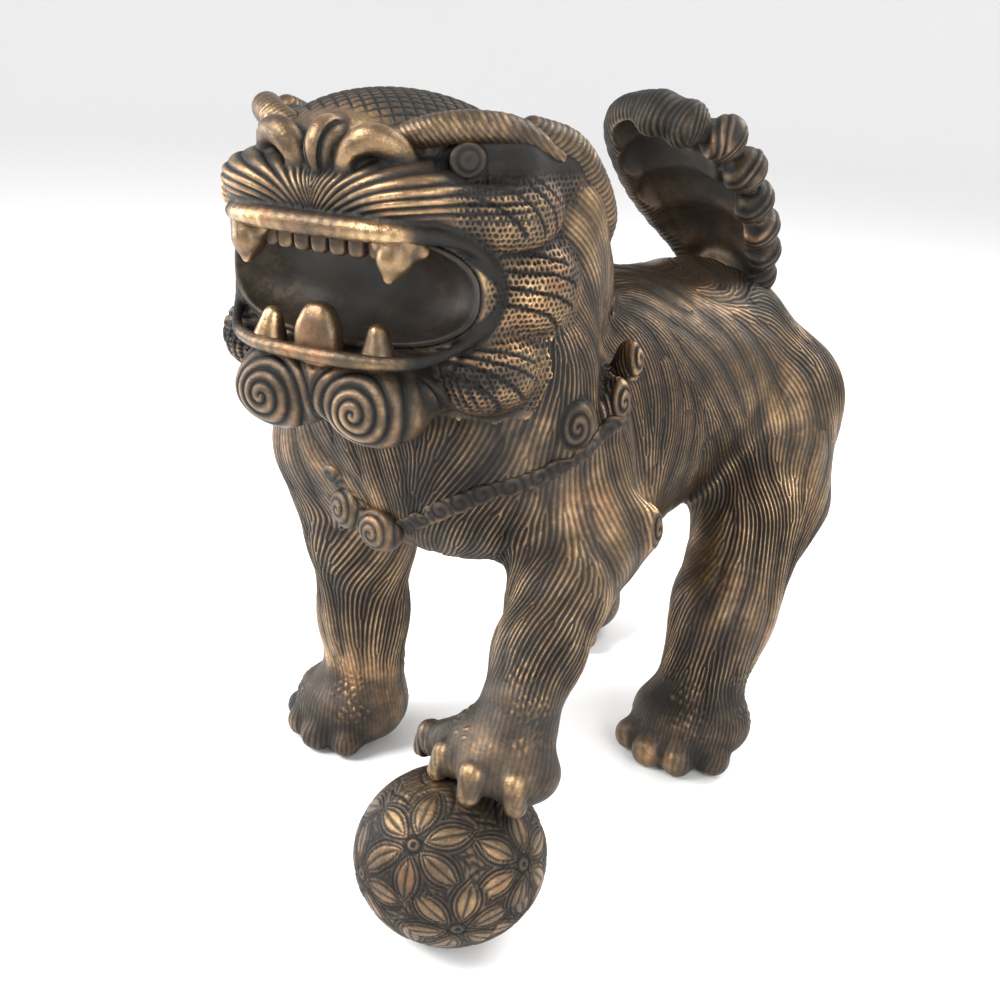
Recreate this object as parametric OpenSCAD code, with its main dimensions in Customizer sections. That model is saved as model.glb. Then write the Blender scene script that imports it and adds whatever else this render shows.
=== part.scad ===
// Standing guardian lion (foo dog) in patinated cast bronze, front left paw on a brocade ball.
// The figure faces -Y, its left side is +X, and its soles stand on z = 0.
// Its castings are spigoted, dowelled and pinned together, as a piece-cast bronze is.

/* [Torso] */
// Height of the torso's centre line above the ground
spine_z = 124; // [123:0.5:125]
// Radius of the chest
chest_r = 43; // [42:0.5:44]
// Radius of the waist
waist_r = 38; // [37:0.5:39]
// Radius of the rump
rump_r = 42; // [41:0.5:43]
// Thickness of the cast wall of the hollow castings
wall = 5; // [4:0.5:5.5]

/* [Head] */
// Height of the floor of the open mouth
mouth_floor_z = 161; // [160.5:0.5:162]
// Height of the roof of the open mouth
mouth_roof_z = 187; // [186:0.5:188]
// Half width of the open mouth
mouth_half_w = 38; // [36:0.5:39]
// Length of an upper fang below the roof of the mouth
fang_len = 12; // [10:0.5:14]
// Radius of the round eye inlay
eye_r = 5.5; // [5:0.5:6]

/* [Ball] */
// Radius of the brocade ball
ball_r = 27; // [26:0.5:27]

/* [Joints] */
// Radius of a leg's spigot
spigot_r = 8; // [7:0.5:9]
// Radius of the locking pins and dowels
pin_r = 2; // [1.5:0.25:2.5]
// Radius of the threaded studs, taken at the crest of the thread
stud_r = 3; // [2.5:0.5:3]
// Clearance around a spigot, pin or stud, measured on the radius
fit = 0.1; // [0.05:0.05:0.15]

/* [Hidden] */

$fn = 64;
// Facets round the balls inside a hull
hull_fn = 20;
// Larger than the whole figure, for half-space cuts
far = 400;
// A touch past a face, so that a cut goes right through it
past = 1;

// Everything is drawn from the point on the ground under the middle of the lion's back.
// This shift brings the middle of the whole figure's box to the origin.
figure_shift = [-5.8, 15.5, 0];

bronze = [0.30, 0.24, 0.18];
gold_bronze = [0.60, 0.44, 0.25];
dark_bronze = [0.19, 0.16, 0.13];
steel = [0.55, 0.56, 0.57];

// Torso outline along Y: where the round ends begin, how long they are, and the waist
chest_y = -44;
chest_cap = 46;
waist_y = 8;
rump_y = 70;
rump_cap = 46;
// Steps along each end and each half of the waist
torso_steps = 12;
// Core hole in the belly, and its plug
plug_y = 6;
plug_r = 10;
plug_z = spine_z - waist_r + 0.3;

// The plane where the head meets the mane, the torso's seat below the jaw,
// and the level that the mane stands on, clear of the shoulders
head_back_y = -70;
seat_z = 131.5;
mane_base_z = 138;

// Leg spigots: [y, z] of their axes, how far in and out they reach, and their locking pins
front_spigot = [-42, 112];
rear_spigot = [68, 113];
spigot_in = 23;
spigot_out = 47;
spigot_pin_x = 29;
spigot_pin_half = 9;

// Legs from the top down: [x, y, z, radius]
front_left_chain = [[30, -42, 116, 21], [46, -48, 90, 19], [64, -103, 73, 12]];
front_right_chain = [[-30, -42, 114, 21], [-47, -50, 72, 18], [-50, -50, 24, 14]];
rear_left_chain = [[27, 86, 115, 26], [38, 64, 86, 22], [48, 27, 45, 15], [46, 21, 20, 13]];
rear_right_chain = [[-27, 86, 115, 26], [-38, 78, 84, 21], [-43, 80, 45, 14], [-44, 76, 20, 13]];

// Feet: centre of the heel, and the toes as offsets from it, across and forward
front_right_heel = [-50, -50];
rear_left_heel = [45, 22];
rear_right_heel = [-44, 76];
toes = [[-14, -18], [-5, -24], [6, -24], [14, -18]];
toe_r = 7.5;
heel_r = 10;
// Depth of the flat rubbed on each sole
sole_flat = 1.2;
// The raised paw: heel and the height of its toes
paw_heel = [63, -108, 66];
paw_toe_z = 57;

// Ball, ground to a small flat underneath, and the rivet that holds the paw to it
ball_flat = 0.6;
ball_centre = [56, -120, ball_r - ball_flat];
rivet_at = [60, -117];
rivet_r = 2.5;
rivet_bottom = 42;
rivet_top = 66;

// Tail plume from the root up: [half width to the ball centres, y, z, radius]
plume = [[4, 84, 157, 11], [11, 69, 179, 10.5], [14.5, 57, 191, 10.5], [11.5, 41, 203, 10], [5, 27, 214, 11]];
// The scoop in its front, swept forward and down out of the plume
scoop = [[3, 68, 176, 5], [12, 56, 190, 6], [8, 37, 203, 5]];
scoop_sweep = [0, -22, -16];

// Neck stud and dowels: [x, y] of the stud, the pad under it in the torso, and their tops
neck_at = [0, -40];
neck_boss_r = 24;
neck_boss_z = spine_z + chest_r - 10;
neck_stud_top = 182;
neck_dowel_x = 16;
neck_dowel_top = 176;
nut_h = 5;
nut_corner_r = 5.8;
stud_tail = 2;
// The tail's stud leans forward with the plume: a point on its axis, its lean,
// and distances along the axis to the pad's underside and the stud's top
tail_root = [0, 84, 156];
tail_lean = 25;
tail_boss_r = 10;
tail_pad = -6;
tail_stud_top = 15;

// Head: the spigot on the skull's back and the two pins through it
head_spigot_z = 186;
head_spigot_r = 13;
head_spigot_len = 14;
head_pin_x = 8;
head_pin_y = -62;
head_pin_bottom = 168;
head_pin_top = 200;
// Dowels between the skull and the jaw
jaw_top_z = 160;
jaw_dowel_at = [30, -82];
jaw_dowel_bottom = 148;
jaw_dowel_top = 170;
// The plate that closes the back of the mouth
mouth_plate_y = -92;
mouth_plate_t = 3;
mouth_gap = 0.2;

// Teeth
fang_at = [27, -119];
fang_r = 5;
fang_tip_r = 1;
fang_root_r = 2.5;
fang_root_len = 6;
incisors = 6;
incisor_w = 5.6;
incisor_t = 4;
incisor_h = 8;
incisor_y = -122;
lower_tooth_t = 5;
lower_tooth_y = -116;
// Lower teeth: [x, width at the root, height]
lower_teeth_sizes = [[-22, 9, 9], [0, 14, 13], [22, 9, 9]];

// Eyes: centre of the front of the inlay, the way it looks, and its length
eye_at = [35.5, -101.5, 211];
eye_turn = [0, 72, -49];
eye_len = 9;

// Brow and ear, left side: balls as [x, y, z, radius]
brow_chain = [[20, -106, 214, 4], [34, -101, 221, 4.5], [43.5, -88, 217, 4.5]];
ear_balls = [[51, -83, 215, 4.5], [54, -71, 209, 5.5], [52, -64, 191, 5], [50, -76, 197, 5]];

// Collar: a half ring round the front of the chest, and the bell on it
collar_front_y = -80;
collar_w = 6;
collar_r = 34.5;
bell_at = [0, -88.6, 99];
bell_r = 8;

function smooth(t) = 0.5 - 0.5 * cos(180 * t);
function dome(t) = sqrt(max(0, 1 - t * t));
function waist_blend(r, t) = waist_r + (r - waist_r) * smooth(t);

// Outline of the torso as [radius, y], drawn in by the given inset
function torso_outline(inset) = concat(
    [for (i = [0:torso_steps])
        let (t = cos(90 * i / torso_steps))
        [(chest_r - inset) * dome(t), chest_y - (chest_cap - inset) * t]],
    [for (i = [1:torso_steps])
        let (t = 1 - i / torso_steps)
        [waist_blend(chest_r, t) - inset, waist_y + (chest_y - waist_y) * t]],
    [for (i = [1:torso_steps])
        let (t = i / torso_steps)
        [waist_blend(rump_r, t) - inset, waist_y + (rump_y - waist_y) * t]],
    [for (i = [1:torso_steps])
        let (t = sin(90 * i / torso_steps))
        [(rump_r - inset) * dome(t), rump_y + (rump_cap - inset) * t]]
);

module in_place() {
    translate(figure_shift)
        children();
}

module mirrored() {
    mirror([1, 0, 0])
        children();
}

module ball_at(b) {
    translate([b[0], b[1], b[2]])
        sphere(b[3], $fn = hull_fn);
}

module ball_pair(b) {
    ball_at(b);
    mirrored()
        ball_at(b);
}

// A round limb through a chain of [x, y, z, radius]
module limb(chain) {
    for (i = [0:len(chain) - 2])
        hull() {
            ball_at(chain[i]);
            ball_at(chain[i + 1]);
        }
}

module upright(at, r, z0, z1) {
    translate([at[0], at[1], z0])
        cylinder(h = z1 - z0, r = r);
}

// A cylinder along X through [y, z]
module crosswise(at, r, x0, x1) {
    translate([x0, at[0], at[1]])
        rotate([0, 90, 0])
            cylinder(h = x1 - x0, r = r);
}

// Places its children along the tail stud's axis, which becomes +Z
module on_tail_axis() {
    translate(tail_root)
        rotate([tail_lean, 0, 0])
            children();
}

module tail_bore(r, top) {
    on_tail_axis()
        translate([0, 0, tail_pad - past])
            cylinder(h = top - tail_pad + past, r = r);
}

module below(z) {
    translate([-far / 2, -far / 2, z - far])
        cube(far);
}

module above(z) {
    translate([-far / 2, -far / 2, z])
        cube(far);
}

module ahead_of(y) {
    translate([-far / 2, y - far, -far / 2])
        cube(far);
}

module behind(y) {
    translate([-far / 2, y, -far / 2])
        cube(far);
}

// The corner cut out of the chest for the jaw, grown by the given amount
module seat_cut(grow) {
    translate([-far / 2, head_back_y + grow - far, seat_z - grow])
        cube(far);
}

module torso_lathe(inset) {
    translate([0, 0, spine_z])
        rotate([-90, 0, 0])
            rotate_extrude()
                polygon(torso_outline(inset));
}

module torso_outer() {
    difference() {
        torso_lathe(0);
        seat_cut(0);
    }
}

// Hollow body shell: leg sockets, thick pads for the neck and tail studs, and a core hole
module torso_casting() {
    color(bronze)
        in_place()
            difference() {
                torso_outer();
                difference() {
                    torso_lathe(wall);
                    seat_cut(wall);
                    upright(neck_at, neck_boss_r, neck_boss_z, far);
                    on_tail_axis()
                        translate([0, 0, tail_pad])
                            cylinder(h = tail_stud_top, r = tail_boss_r);
                }
                for (at = [front_spigot, rear_spigot])
                    crosswise(at, spigot_r + fit, -far / 2, far / 2);
                upright(neck_at, stud_r + fit, spine_z, far);
                for (side = [-1, 1])
                    upright([side * neck_dowel_x, neck_at[1]], pin_r + fit, spine_z, far);
                tail_bore(stud_r + fit, tail_stud_top + past);
                upright([0, plug_y], plug_r + fit, 0, spine_z);
            }
}

// Neck and mane, standing on the torso's shoulders behind the head
module mane_casting() {
    color(bronze)
        in_place()
            difference() {
                hull() {
                    ball_pair([25, -52, 186, 18]);
                    ball_pair([26, -52, 152, 20]);
                    ball_at([0, -28, 166, 24]);
                }
                torso_outer();
                ahead_of(head_back_y);
                below(mane_base_z);
                translate([0, head_back_y - past, head_spigot_z])
                    rotate([-90, 0, 0])
                        cylinder(h = head_spigot_len + past + fit, r = head_spigot_r + fit);
                for (side = [-1, 1]) {
                    upright([side * head_pin_x, head_pin_y], pin_r + fit, head_pin_bottom, far);
                    upright([side * neck_dowel_x, neck_at[1]], pin_r + fit, 0, neck_dowel_top + fit);
                }
                upright(neck_at, stud_r + fit, 0, neck_stud_top + fit);
            }
}

// The stadium-shaped opening of the mouth, as an outline in X and Z
module mouth_outline(gap) {
    mouth_h = mouth_roof_z - mouth_floor_z;
    straight = 2 * mouth_half_w - mouth_h;
    for (side = [-1, 1])
        translate([side * straight / 2, mouth_floor_z + mouth_h / 2])
            circle(mouth_h / 2 - gap);
    translate([-straight / 2, mouth_floor_z + gap])
        square([straight, mouth_h - 2 * gap]);
}

// A slab of the mouth's outline between two planes across Y
module mouth_slab(y0, y1, gap) {
    translate([0, y1, 0])
        rotate([90, 0, 0])
            linear_extrude(y1 - y0)
                mouth_outline(gap);
}

module skull_blank() {
    hull() {
        ball_pair([24, -80, 197, 17]);
        ball_at([0, -86, 203, 21]);
    }
    hull() {
        ball_pair([25, -111, 199, 15.5]);
        ball_pair([22, -92, 200, 16]);
    }
    for (side = [0, 1])
        mirror([side, 0, 0])
            hull() {
                ball_at([38, -90, 203, 12]);
                ball_at([40, -92, 180, 15]);
                ball_at([34, -84, 170, 12]);
            }
}

module eye_inlay(r, front) {
    translate(eye_at)
        rotate(eye_turn)
            translate([0, 0, -eye_len])
                cylinder(h = eye_len + front, r = r);
}

module jaw_dowels_at(clearance) {
    for (side = [-1, 1])
        upright([side * jaw_dowel_at[0], jaw_dowel_at[1]], pin_r + clearance,
            jaw_dowel_bottom - clearance, jaw_dowel_top + clearance);
}

// Upper head with nose, cheeks and the roof and back of the mouth, and a spigot behind
module skull_casting() {
    color(bronze)
        in_place()
            difference() {
                union() {
                    difference() {
                        skull_blank();
                        behind(head_back_y);
                    }
                    translate([0, -120, 210])
                        sphere(7.5);
                    for (side = [-1, 1])
                        translate([side * 13, -118, 208])
                            sphere(8);
                    translate([0, head_back_y - past, head_spigot_z])
                        rotate([-90, 0, 0])
                            cylinder(h = head_spigot_len + past, r = head_spigot_r);
                }
                below(jaw_top_z);
                mouth_slab(-far, mouth_plate_y, 0);
                for (side = [-1, 1]) {
                    upright([side * head_pin_x, head_pin_y], pin_r + fit, 0, far);
                    upright([side * fang_at[0], fang_at[1]], fang_root_r + fit,
                        mouth_roof_z - past, mouth_roof_z + fang_root_len + fit);
                    upright([side * fang_at[0], fang_at[1]], fang_r + fit,
                        mouth_roof_z - fang_len, mouth_roof_z);
                }
                for (side = [0, 1])
                    mirror([side, 0, 0])
                        eye_inlay(eye_r + fit, far);
                jaw_dowels_at(fit);
            }
}

// Chin and lower cheeks
module lower_jaw() {
    color(bronze)
        in_place()
            difference() {
                hull() {
                    ball_pair([20, -111, 148, 15]);
                    ball_pair([34, -89, 151, 14]);
                }
                above(jaw_top_z);
                behind(head_back_y);
                jaw_dowels_at(fit);
            }
}

module mouth_plate() {
    color(dark_bronze)
        in_place()
            mouth_slab(mouth_plate_y - mouth_plate_t, mouth_plate_y, mouth_gap);
}

module upper_fangs() {
    color(gold_bronze)
        in_place()
            for (side = [-1, 1])
                translate([side * fang_at[0], fang_at[1], mouth_roof_z]) {
                    cylinder(h = fang_root_len, r = fang_root_r);
                    translate([0, 0, -fang_len])
                        cylinder(h = fang_len, r1 = fang_tip_r, r2 = fang_r);
                }
}

// A row of front teeth on a common strip
module upper_incisors() {
    row = incisors * incisor_w;
    strip_h = incisor_h / 2;
    groove = 0.5;
    color(gold_bronze)
        in_place()
            translate([-row / 2, incisor_y, mouth_roof_z - incisor_h]) {
                translate([0, incisor_t / 4, incisor_h - strip_h])
                    cube([row, incisor_t / 2, strip_h]);
                for (i = [0:incisors - 1])
                    translate([i * incisor_w + groove, 0, 0])
                        cube([incisor_w - 2 * groove, incisor_t, incisor_h]);
            }
}

module lower_tooth(w, h) {
    crown = w * 0.6;
    rotate([90, 0, 0])
        linear_extrude(lower_tooth_t)
            polygon([[-w / 2, 0], [w / 2, 0], [crown / 2, h], [-crown / 2, h]]);
}

module lower_teeth() {
    color(gold_bronze)
        in_place()
            for (tooth = lower_teeth_sizes)
                translate([tooth[0], lower_tooth_y, jaw_top_z])
                    lower_tooth(tooth[1], tooth[2]);
}

module left_eye() {
    color(dark_bronze)
        in_place()
            eye_inlay(eye_r, 0);
}

module right_eye() {
    color(dark_bronze)
        in_place()
            mirrored()
                eye_inlay(eye_r, 0);
}

module brow() {
    difference() {
        limb(brow_chain);
        skull_blank();
        eye_inlay(eye_r + fit, far);
    }
}

module left_brow() {
    color(gold_bronze)
        in_place()
            brow();
}

module right_brow() {
    color(gold_bronze)
        in_place()
            mirrored()
                brow();
}

module ear() {
    difference() {
        hull()
            for (b = ear_balls)
                ball_at(b);
        skull_blank();
    }
}

module left_ear() {
    color(bronze)
        in_place()
            ear();
}

module right_ear() {
    color(bronze)
        in_place()
            mirrored()
                ear();
}

module head_spigot_pins() {
    color(steel)
        in_place()
            for (side = [-1, 1])
                upright([side * head_pin_x, head_pin_y], pin_r, head_pin_bottom, head_pin_top);
}

module jaw_dowels() {
    color(steel)
        in_place()
            jaw_dowels_at(0);
}

// A spigot reaching from inside a leg into the torso, drilled for its pin; side is -1 or 1
module leg_spigot(at, side) {
    difference() {
        crosswise(at, spigot_r, side > 0 ? spigot_in : -spigot_out, side > 0 ? spigot_out : -spigot_in);
        upright([side * spigot_pin_x, at[0]], pin_r + fit, 0, far);
    }
}

module foot(heel) {
    hull() {
        ball_at([heel[0], heel[1], heel_r - sole_flat, heel_r]);
        for (t = toes)
            ball_at([heel[0] + t[0], heel[1] + t[1], toe_r - sole_flat, toe_r]);
    }
}

// A leg standing on the ground
module standing_leg(chain, heel, spigot, side) {
    color(bronze)
        in_place() {
            difference() {
                union() {
                    limb(chain);
                    foot(heel);
                }
                torso_outer();
                below(0);
            }
            leg_spigot(spigot, side);
        }
}

// Left front leg, stepping forward with its paw on top of the ball
module front_left_leg() {
    color(bronze)
        in_place() {
            difference() {
                union() {
                    limb(front_left_chain);
                    hull() {
                        ball_at([paw_heel[0], paw_heel[1], paw_heel[2], heel_r]);
                        for (t = toes)
                            ball_at([paw_heel[0] - 2 + t[0], paw_heel[1] + t[1], paw_toe_z, toe_r]);
                    }
                }
                torso_outer();
                translate(ball_centre)
                    sphere(ball_r);
                upright(rivet_at, rivet_r + fit, 0, rivet_top + fit);
            }
            leg_spigot(front_spigot, 1);
        }
}

module front_right_leg() {
    standing_leg(front_right_chain, front_right_heel, front_spigot, -1);
}

module rear_left_leg() {
    standing_leg(rear_left_chain, rear_left_heel, rear_spigot, 1);
}

module rear_right_leg() {
    standing_leg(rear_right_chain, rear_right_heel, rear_spigot, -1);
}

module leg_spigot_pins() {
    color(steel)
        in_place()
            for (side = [-1, 1])
                for (at = [front_spigot, rear_spigot])
                    upright([side * spigot_pin_x, at[0]], pin_r, at[1] - spigot_pin_half, at[1] + spigot_pin_half);
}

module brocade_ball() {
    color(bronze)
        in_place()
            difference() {
                translate(ball_centre)
                    sphere(ball_r);
                translate(ball_centre)
                    sphere(ball_r - wall);
                below(0);
                upright(rivet_at, rivet_r + fit, ball_centre[2], far);
            }
}

module ball_rivet() {
    color(steel)
        in_place()
            upright(rivet_at, rivet_r, rivet_bottom, rivet_top);
}

// Plume curling forward over the rump, scooped out in front
module tail_plume() {
    color(bronze)
        in_place()
            difference() {
                for (i = [0:len(plume) - 2])
                    hull() {
                        ball_pair(plume[i]);
                        ball_pair(plume[i + 1]);
                    }
                hull()
                    for (b = scoop) {
                        ball_pair(b);
                        translate(scoop_sweep)
                            ball_pair(b);
                    }
                torso_outer();
                tail_bore(stud_r + fit, tail_stud_top + fit);
            }
}

// A headless stud up through a pad whose underside is at z = 0, ending at the given height
module stud(top) {
    translate([0, 0, -nut_h - stud_tail])
        cylinder(h = nut_h + stud_tail + top, r = stud_r);
}

// A nut hard against the underside of that pad
module hex_nut() {
    translate([0, 0, -nut_h])
        difference() {
            cylinder(h = nut_h, r = nut_corner_r, $fn = 6);
            translate([0, 0, -past])
                cylinder(h = nut_h + 2 * past, r = stud_r + fit);
        }
}

module tail_stud() {
    color(steel)
        in_place()
            on_tail_axis()
                translate([0, 0, tail_pad])
                    stud(tail_stud_top - tail_pad);
}

module tail_nut() {
    color(steel)
        in_place()
            on_tail_axis()
                translate([0, 0, tail_pad])
                    hex_nut();
}

module neck_stud() {
    color(steel)
        in_place()
            translate([neck_at[0], neck_at[1], neck_boss_z])
                stud(neck_stud_top - neck_boss_z);
}

module neck_nut() {
    color(steel)
        in_place()
            translate([neck_at[0], neck_at[1], neck_boss_z])
                hex_nut();
}

module neck_dowels() {
    color(steel)
        in_place()
            for (side = [-1, 1])
                upright([side * neck_dowel_x, neck_at[1]], pin_r, neck_boss_z, neck_dowel_top);
}

module collar_ring() {
    translate([0, 0, spine_z])
        rotate([-90, 0, 0])
            rotate_extrude(angle = 180)
                translate([collar_r / 2, collar_front_y])
                    square([collar_r / 2, collar_w]);
}

module collar_band() {
    color(bronze)
        in_place()
            difference() {
                collar_ring();
                torso_outer();
            }
}

module collar_bell() {
    color(gold_bronze)
        in_place()
            difference() {
                translate(bell_at)
                    sphere(bell_r);
                torso_outer();
            }
}

module belly_core_plug() {
    color(dark_bronze)
        in_place()
            upright([0, plug_y], plug_r, plug_z, plug_z + wall);
}

torso_casting();
mane_casting();
skull_casting();
lower_jaw();
mouth_plate();
upper_fangs();
upper_incisors();
lower_teeth();
left_eye();
right_eye();
left_brow();
right_brow();
left_ear();
right_ear();
head_spigot_pins();
jaw_dowels();
front_left_leg();
front_right_leg();
rear_left_leg();
rear_right_leg();
leg_spigot_pins();
brocade_ball();
ball_rivet();
tail_plume();
tail_stud();
tail_nut();
neck_stud();
neck_nut();
neck_dowels();
collar_band();
collar_bell();
belly_core_plug();
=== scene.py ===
"""Foo dog statue in patinated bronze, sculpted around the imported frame.

The statue is carved as solids of smoothly joined shapes, in the figure's own millimetres:
the lion faces -Y, its left side is +X, the ground is z = 0, and x = 0, y = 0 is the point
under the middle of its back. The frame says where that point lies and how large the figure is.
"""
import math

import bpy
import numpy as np
from mathutils import Euler, Matrix, Vector


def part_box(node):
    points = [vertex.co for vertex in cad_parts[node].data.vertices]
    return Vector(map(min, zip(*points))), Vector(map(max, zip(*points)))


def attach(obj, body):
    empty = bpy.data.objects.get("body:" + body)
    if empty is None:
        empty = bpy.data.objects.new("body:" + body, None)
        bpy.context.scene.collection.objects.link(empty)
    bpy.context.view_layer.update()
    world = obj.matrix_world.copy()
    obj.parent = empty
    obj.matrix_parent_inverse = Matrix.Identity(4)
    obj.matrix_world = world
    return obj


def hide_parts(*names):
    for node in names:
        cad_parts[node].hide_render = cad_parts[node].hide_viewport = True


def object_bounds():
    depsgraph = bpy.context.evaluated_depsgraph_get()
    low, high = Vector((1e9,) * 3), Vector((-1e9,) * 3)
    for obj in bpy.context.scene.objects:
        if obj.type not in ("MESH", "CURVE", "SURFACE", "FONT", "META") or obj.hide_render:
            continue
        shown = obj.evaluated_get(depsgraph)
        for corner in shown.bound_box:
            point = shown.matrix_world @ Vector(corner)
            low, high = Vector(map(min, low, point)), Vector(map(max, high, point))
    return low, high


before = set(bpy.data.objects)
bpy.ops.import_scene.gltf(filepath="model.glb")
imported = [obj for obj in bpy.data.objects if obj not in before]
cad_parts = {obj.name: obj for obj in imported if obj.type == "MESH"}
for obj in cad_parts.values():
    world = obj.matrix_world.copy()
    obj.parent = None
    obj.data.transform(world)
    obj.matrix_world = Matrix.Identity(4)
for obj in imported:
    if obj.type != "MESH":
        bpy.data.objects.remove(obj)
CAD_BOX = [[float(v) for v in corner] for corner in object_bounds()]

# ---------------------------------------------------------------- the figure's place and size

FIGURE_HEIGHT = 225.44
BALL_MIDDLE = np.array([56.0, -120.0])
METRE = (CAD_BOX[1][2] - CAD_BOX[0][2]) / FIGURE_HEIGHT
BALL_BOX = np.array([list(corner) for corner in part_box("brocade_ball")])
ORIGIN = np.array([*(BALL_BOX.mean(axis=0)[:2] - BALL_MIDDLE * METRE), CAD_BOX[0][2]])
MARGIN = 0.02
FIGURE_LOW = (np.array(CAD_BOX[0]) - ORIGIN) / METRE + MARGIN
FIGURE_HIGH = (np.array(CAD_BOX[1]) - ORIGIN) / METRE - MARGIN

COARSEN = 1.0
SEED = 5


def to_world(points):
    return ORIGIN + METRE * np.asarray(points, dtype=float)


# ---------------------------------------------------------------- shapes and their distances

FAR = 1e3
BAND = 9.0 * COARSEN


def length(v):
    return np.sqrt((v * v).sum(axis=1))


def unit(v):
    v = np.array(v, dtype=float)
    return v / math.sqrt(v @ v)


def folded(p):
    """The points' twins on the +X side."""
    p = p * np.array([1.0, 1.0, 1.0])
    p[:, 0] = np.abs(p[:, 0])
    return p


def turned(turn):
    """Columns are the local axes of a shape turned by Euler degrees."""
    return np.array(Euler([math.radians(a) for a in turn]).to_matrix())


class Shape:
    """A distance in a ball of interest: its middle and how far the shape reaches from it."""

    def __init__(self, middle, reach, distance):
        self.middle = np.array(middle, dtype=float)
        self.reach = reach
        self.distance = distance


def egg(middle, radii, turn=(0, 0, 0)):
    c = np.array(middle, dtype=float)
    r = np.array(radii, dtype=float)
    axes = turned(turn)

    def distance(p):
        q = (p - c) @ axes
        a = length(q / r)
        b = length(q / r ** 2)
        return a * (a - 1) / np.maximum(b, 1e-6)

    return Shape(c, r.max(), distance)


def cushion(middle, radii, turn=(0, 0, 0), power=3.0):
    """A boxy egg; the higher the power, the squarer it is."""
    c = np.array(middle, dtype=float)
    r = np.array(radii, dtype=float)
    axes = turned(turn)

    def distance(p):
        q = np.abs((p - c) @ axes) / r
        s = (q ** power).sum(axis=1)
        a = s ** (1 / power)
        slope = length(q ** (power - 1) / r) * np.maximum(s, 1e-6) ** (1 / power - 1)
        return (a - 1) / np.maximum(slope, 0.5 / r.max())

    return Shape(c, r.max() * 1.3, distance)


def limb(a, b, ra, rb):
    """A round cone from ball a to ball b."""
    a = np.array(a, dtype=float)
    b = np.array(b, dtype=float)
    ba = b - a
    l2 = ba @ ba
    rr = ra - rb
    a2 = l2 - rr * rr

    def distance(p):
        pa = p - a
        y = pa @ ba
        z = y - l2
        w = pa * l2 - ba * y[:, None]
        x2 = (w * w).sum(axis=1)
        y2 = y * y * l2
        z2 = z * z * l2
        k = np.sign(rr) * rr * rr * x2
        side = (np.sqrt(x2 * a2 / l2) + y * rr) / l2 - ra
        top = np.sqrt(x2 + z2) / l2 - rb
        bottom = np.sqrt(x2 + y2) / l2 - ra
        return np.where(np.sign(z) * a2 * z2 > k, top, np.where(np.sign(y) * a2 * y2 < k, bottom, side))

    return Shape((a + b) / 2, math.sqrt(l2) / 2 + max(ra, rb), distance)


def join(a, b, k):
    if k <= 0:
        return np.minimum(a, b)
    h = np.maximum(k - np.abs(a - b), 0) / k
    return np.minimum(a, b) - h * h * k / 4


class Clay:
    """Shapes joined and cut in order, each with its own blend. A mirrored one repeats +X at -X."""

    def __init__(self, mirrored=False):
        self.mirrored = mirrored
        self.steps = []

    def add(self, shape, blend=0.0):
        self.steps.append((shape, blend, 1))
        return self

    def cut(self, shape, blend=0.0):
        self.steps.append((shape, blend, -1))
        return self

    def chain(self, balls, blend=0.0):
        """Round limbs through [x, y, z, radius] balls."""
        for i in range(len(balls) - 1):
            self.add(limb(balls[i][:3], balls[i + 1][:3], balls[i][3], balls[i + 1][3]), blend)
        return self

    def __call__(self, p):
        if self.mirrored:
            p = folded(p)
        d = np.full(len(p), FAR)
        for shape, blend, sign in self.steps:
            off = p - shape.middle
            near = np.flatnonzero((off * off).sum(axis=1) < (shape.reach + blend + BAND) ** 2)
            if len(near) == 0:
                continue
            s = shape.distance(p[near])
            d[near] = join(d[near], s, blend) if sign > 0 else -join(-d[near], s, blend)
        return d


# ---------------------------------------------------------------- from distances to a skin

BLOCK = 4  # steps across a small cell
GROUP = 4  # small cells across a big one
CORNERS = np.array([[i, j, k] for i in (0, 1) for j in (0, 1) for k in (0, 1)])
EDGES = [(a, b) for a in range(8) for b in range(a + 1, 8)
         if np.abs(CORNERS[a] - CORNERS[b]).sum() == 1]


def in_parts(field, points):
    return np.concatenate([field(part) for part in np.array_split(points, len(points) // 300000 + 1)])


def lattice(counts):
    """Every whole-number cell of a block, one to a row."""
    return np.stack(np.meshgrid(*[np.arange(n) for n in counts], indexing="ij"), axis=-1).reshape(-1, 3)


def enlarged(cells, times):
    return cells.repeat(times, axis=0).repeat(times, axis=1).repeat(times, axis=2)


def skin(field, low, high, step):
    """Closed quad mesh where the field is zero: points, quads. Two passes find the cells near the skin."""
    low = np.array(low, dtype=float)
    small, big = step * BLOCK, step * BLOCK * GROUP
    count = np.ceil((np.array(high, dtype=float) - low) / big).astype(int)
    at = lattice(count)
    d = in_parts(field, low + (at + 0.5) * big)
    sign = enlarged(np.where(d < 0, -1.0, 1.0).reshape(count), GROUP)
    at = at[np.abs(d) < big * 1.05]
    at = (at[:, None, :] * GROUP + lattice([GROUP] * 3)[None]).reshape(-1, 3)
    d = in_parts(field, low + (at + 0.5) * small)
    sign[at[:, 0], at[:, 1], at[:, 2]] = np.where(d < 0, -1.0, 1.0)
    at = at[np.abs(d) < small * 1.15]
    grid = np.ones(count * GROUP * BLOCK + 1, dtype=np.float32)
    grid[:-1, :-1, :-1] = enlarged(sign, BLOCK)
    wanted = np.zeros(grid.shape, dtype=bool)
    cells = (at[:, None, :] * BLOCK + lattice([BLOCK + 1] * 3)[None]).reshape(-1, 3)
    wanted[cells[:, 0], cells[:, 1], cells[:, 2]] = True
    where = np.argwhere(wanted)
    grid[where[:, 0], where[:, 1], where[:, 2]] = in_parts(field, low + where * step)
    return surface_net(grid, low, step)


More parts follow.
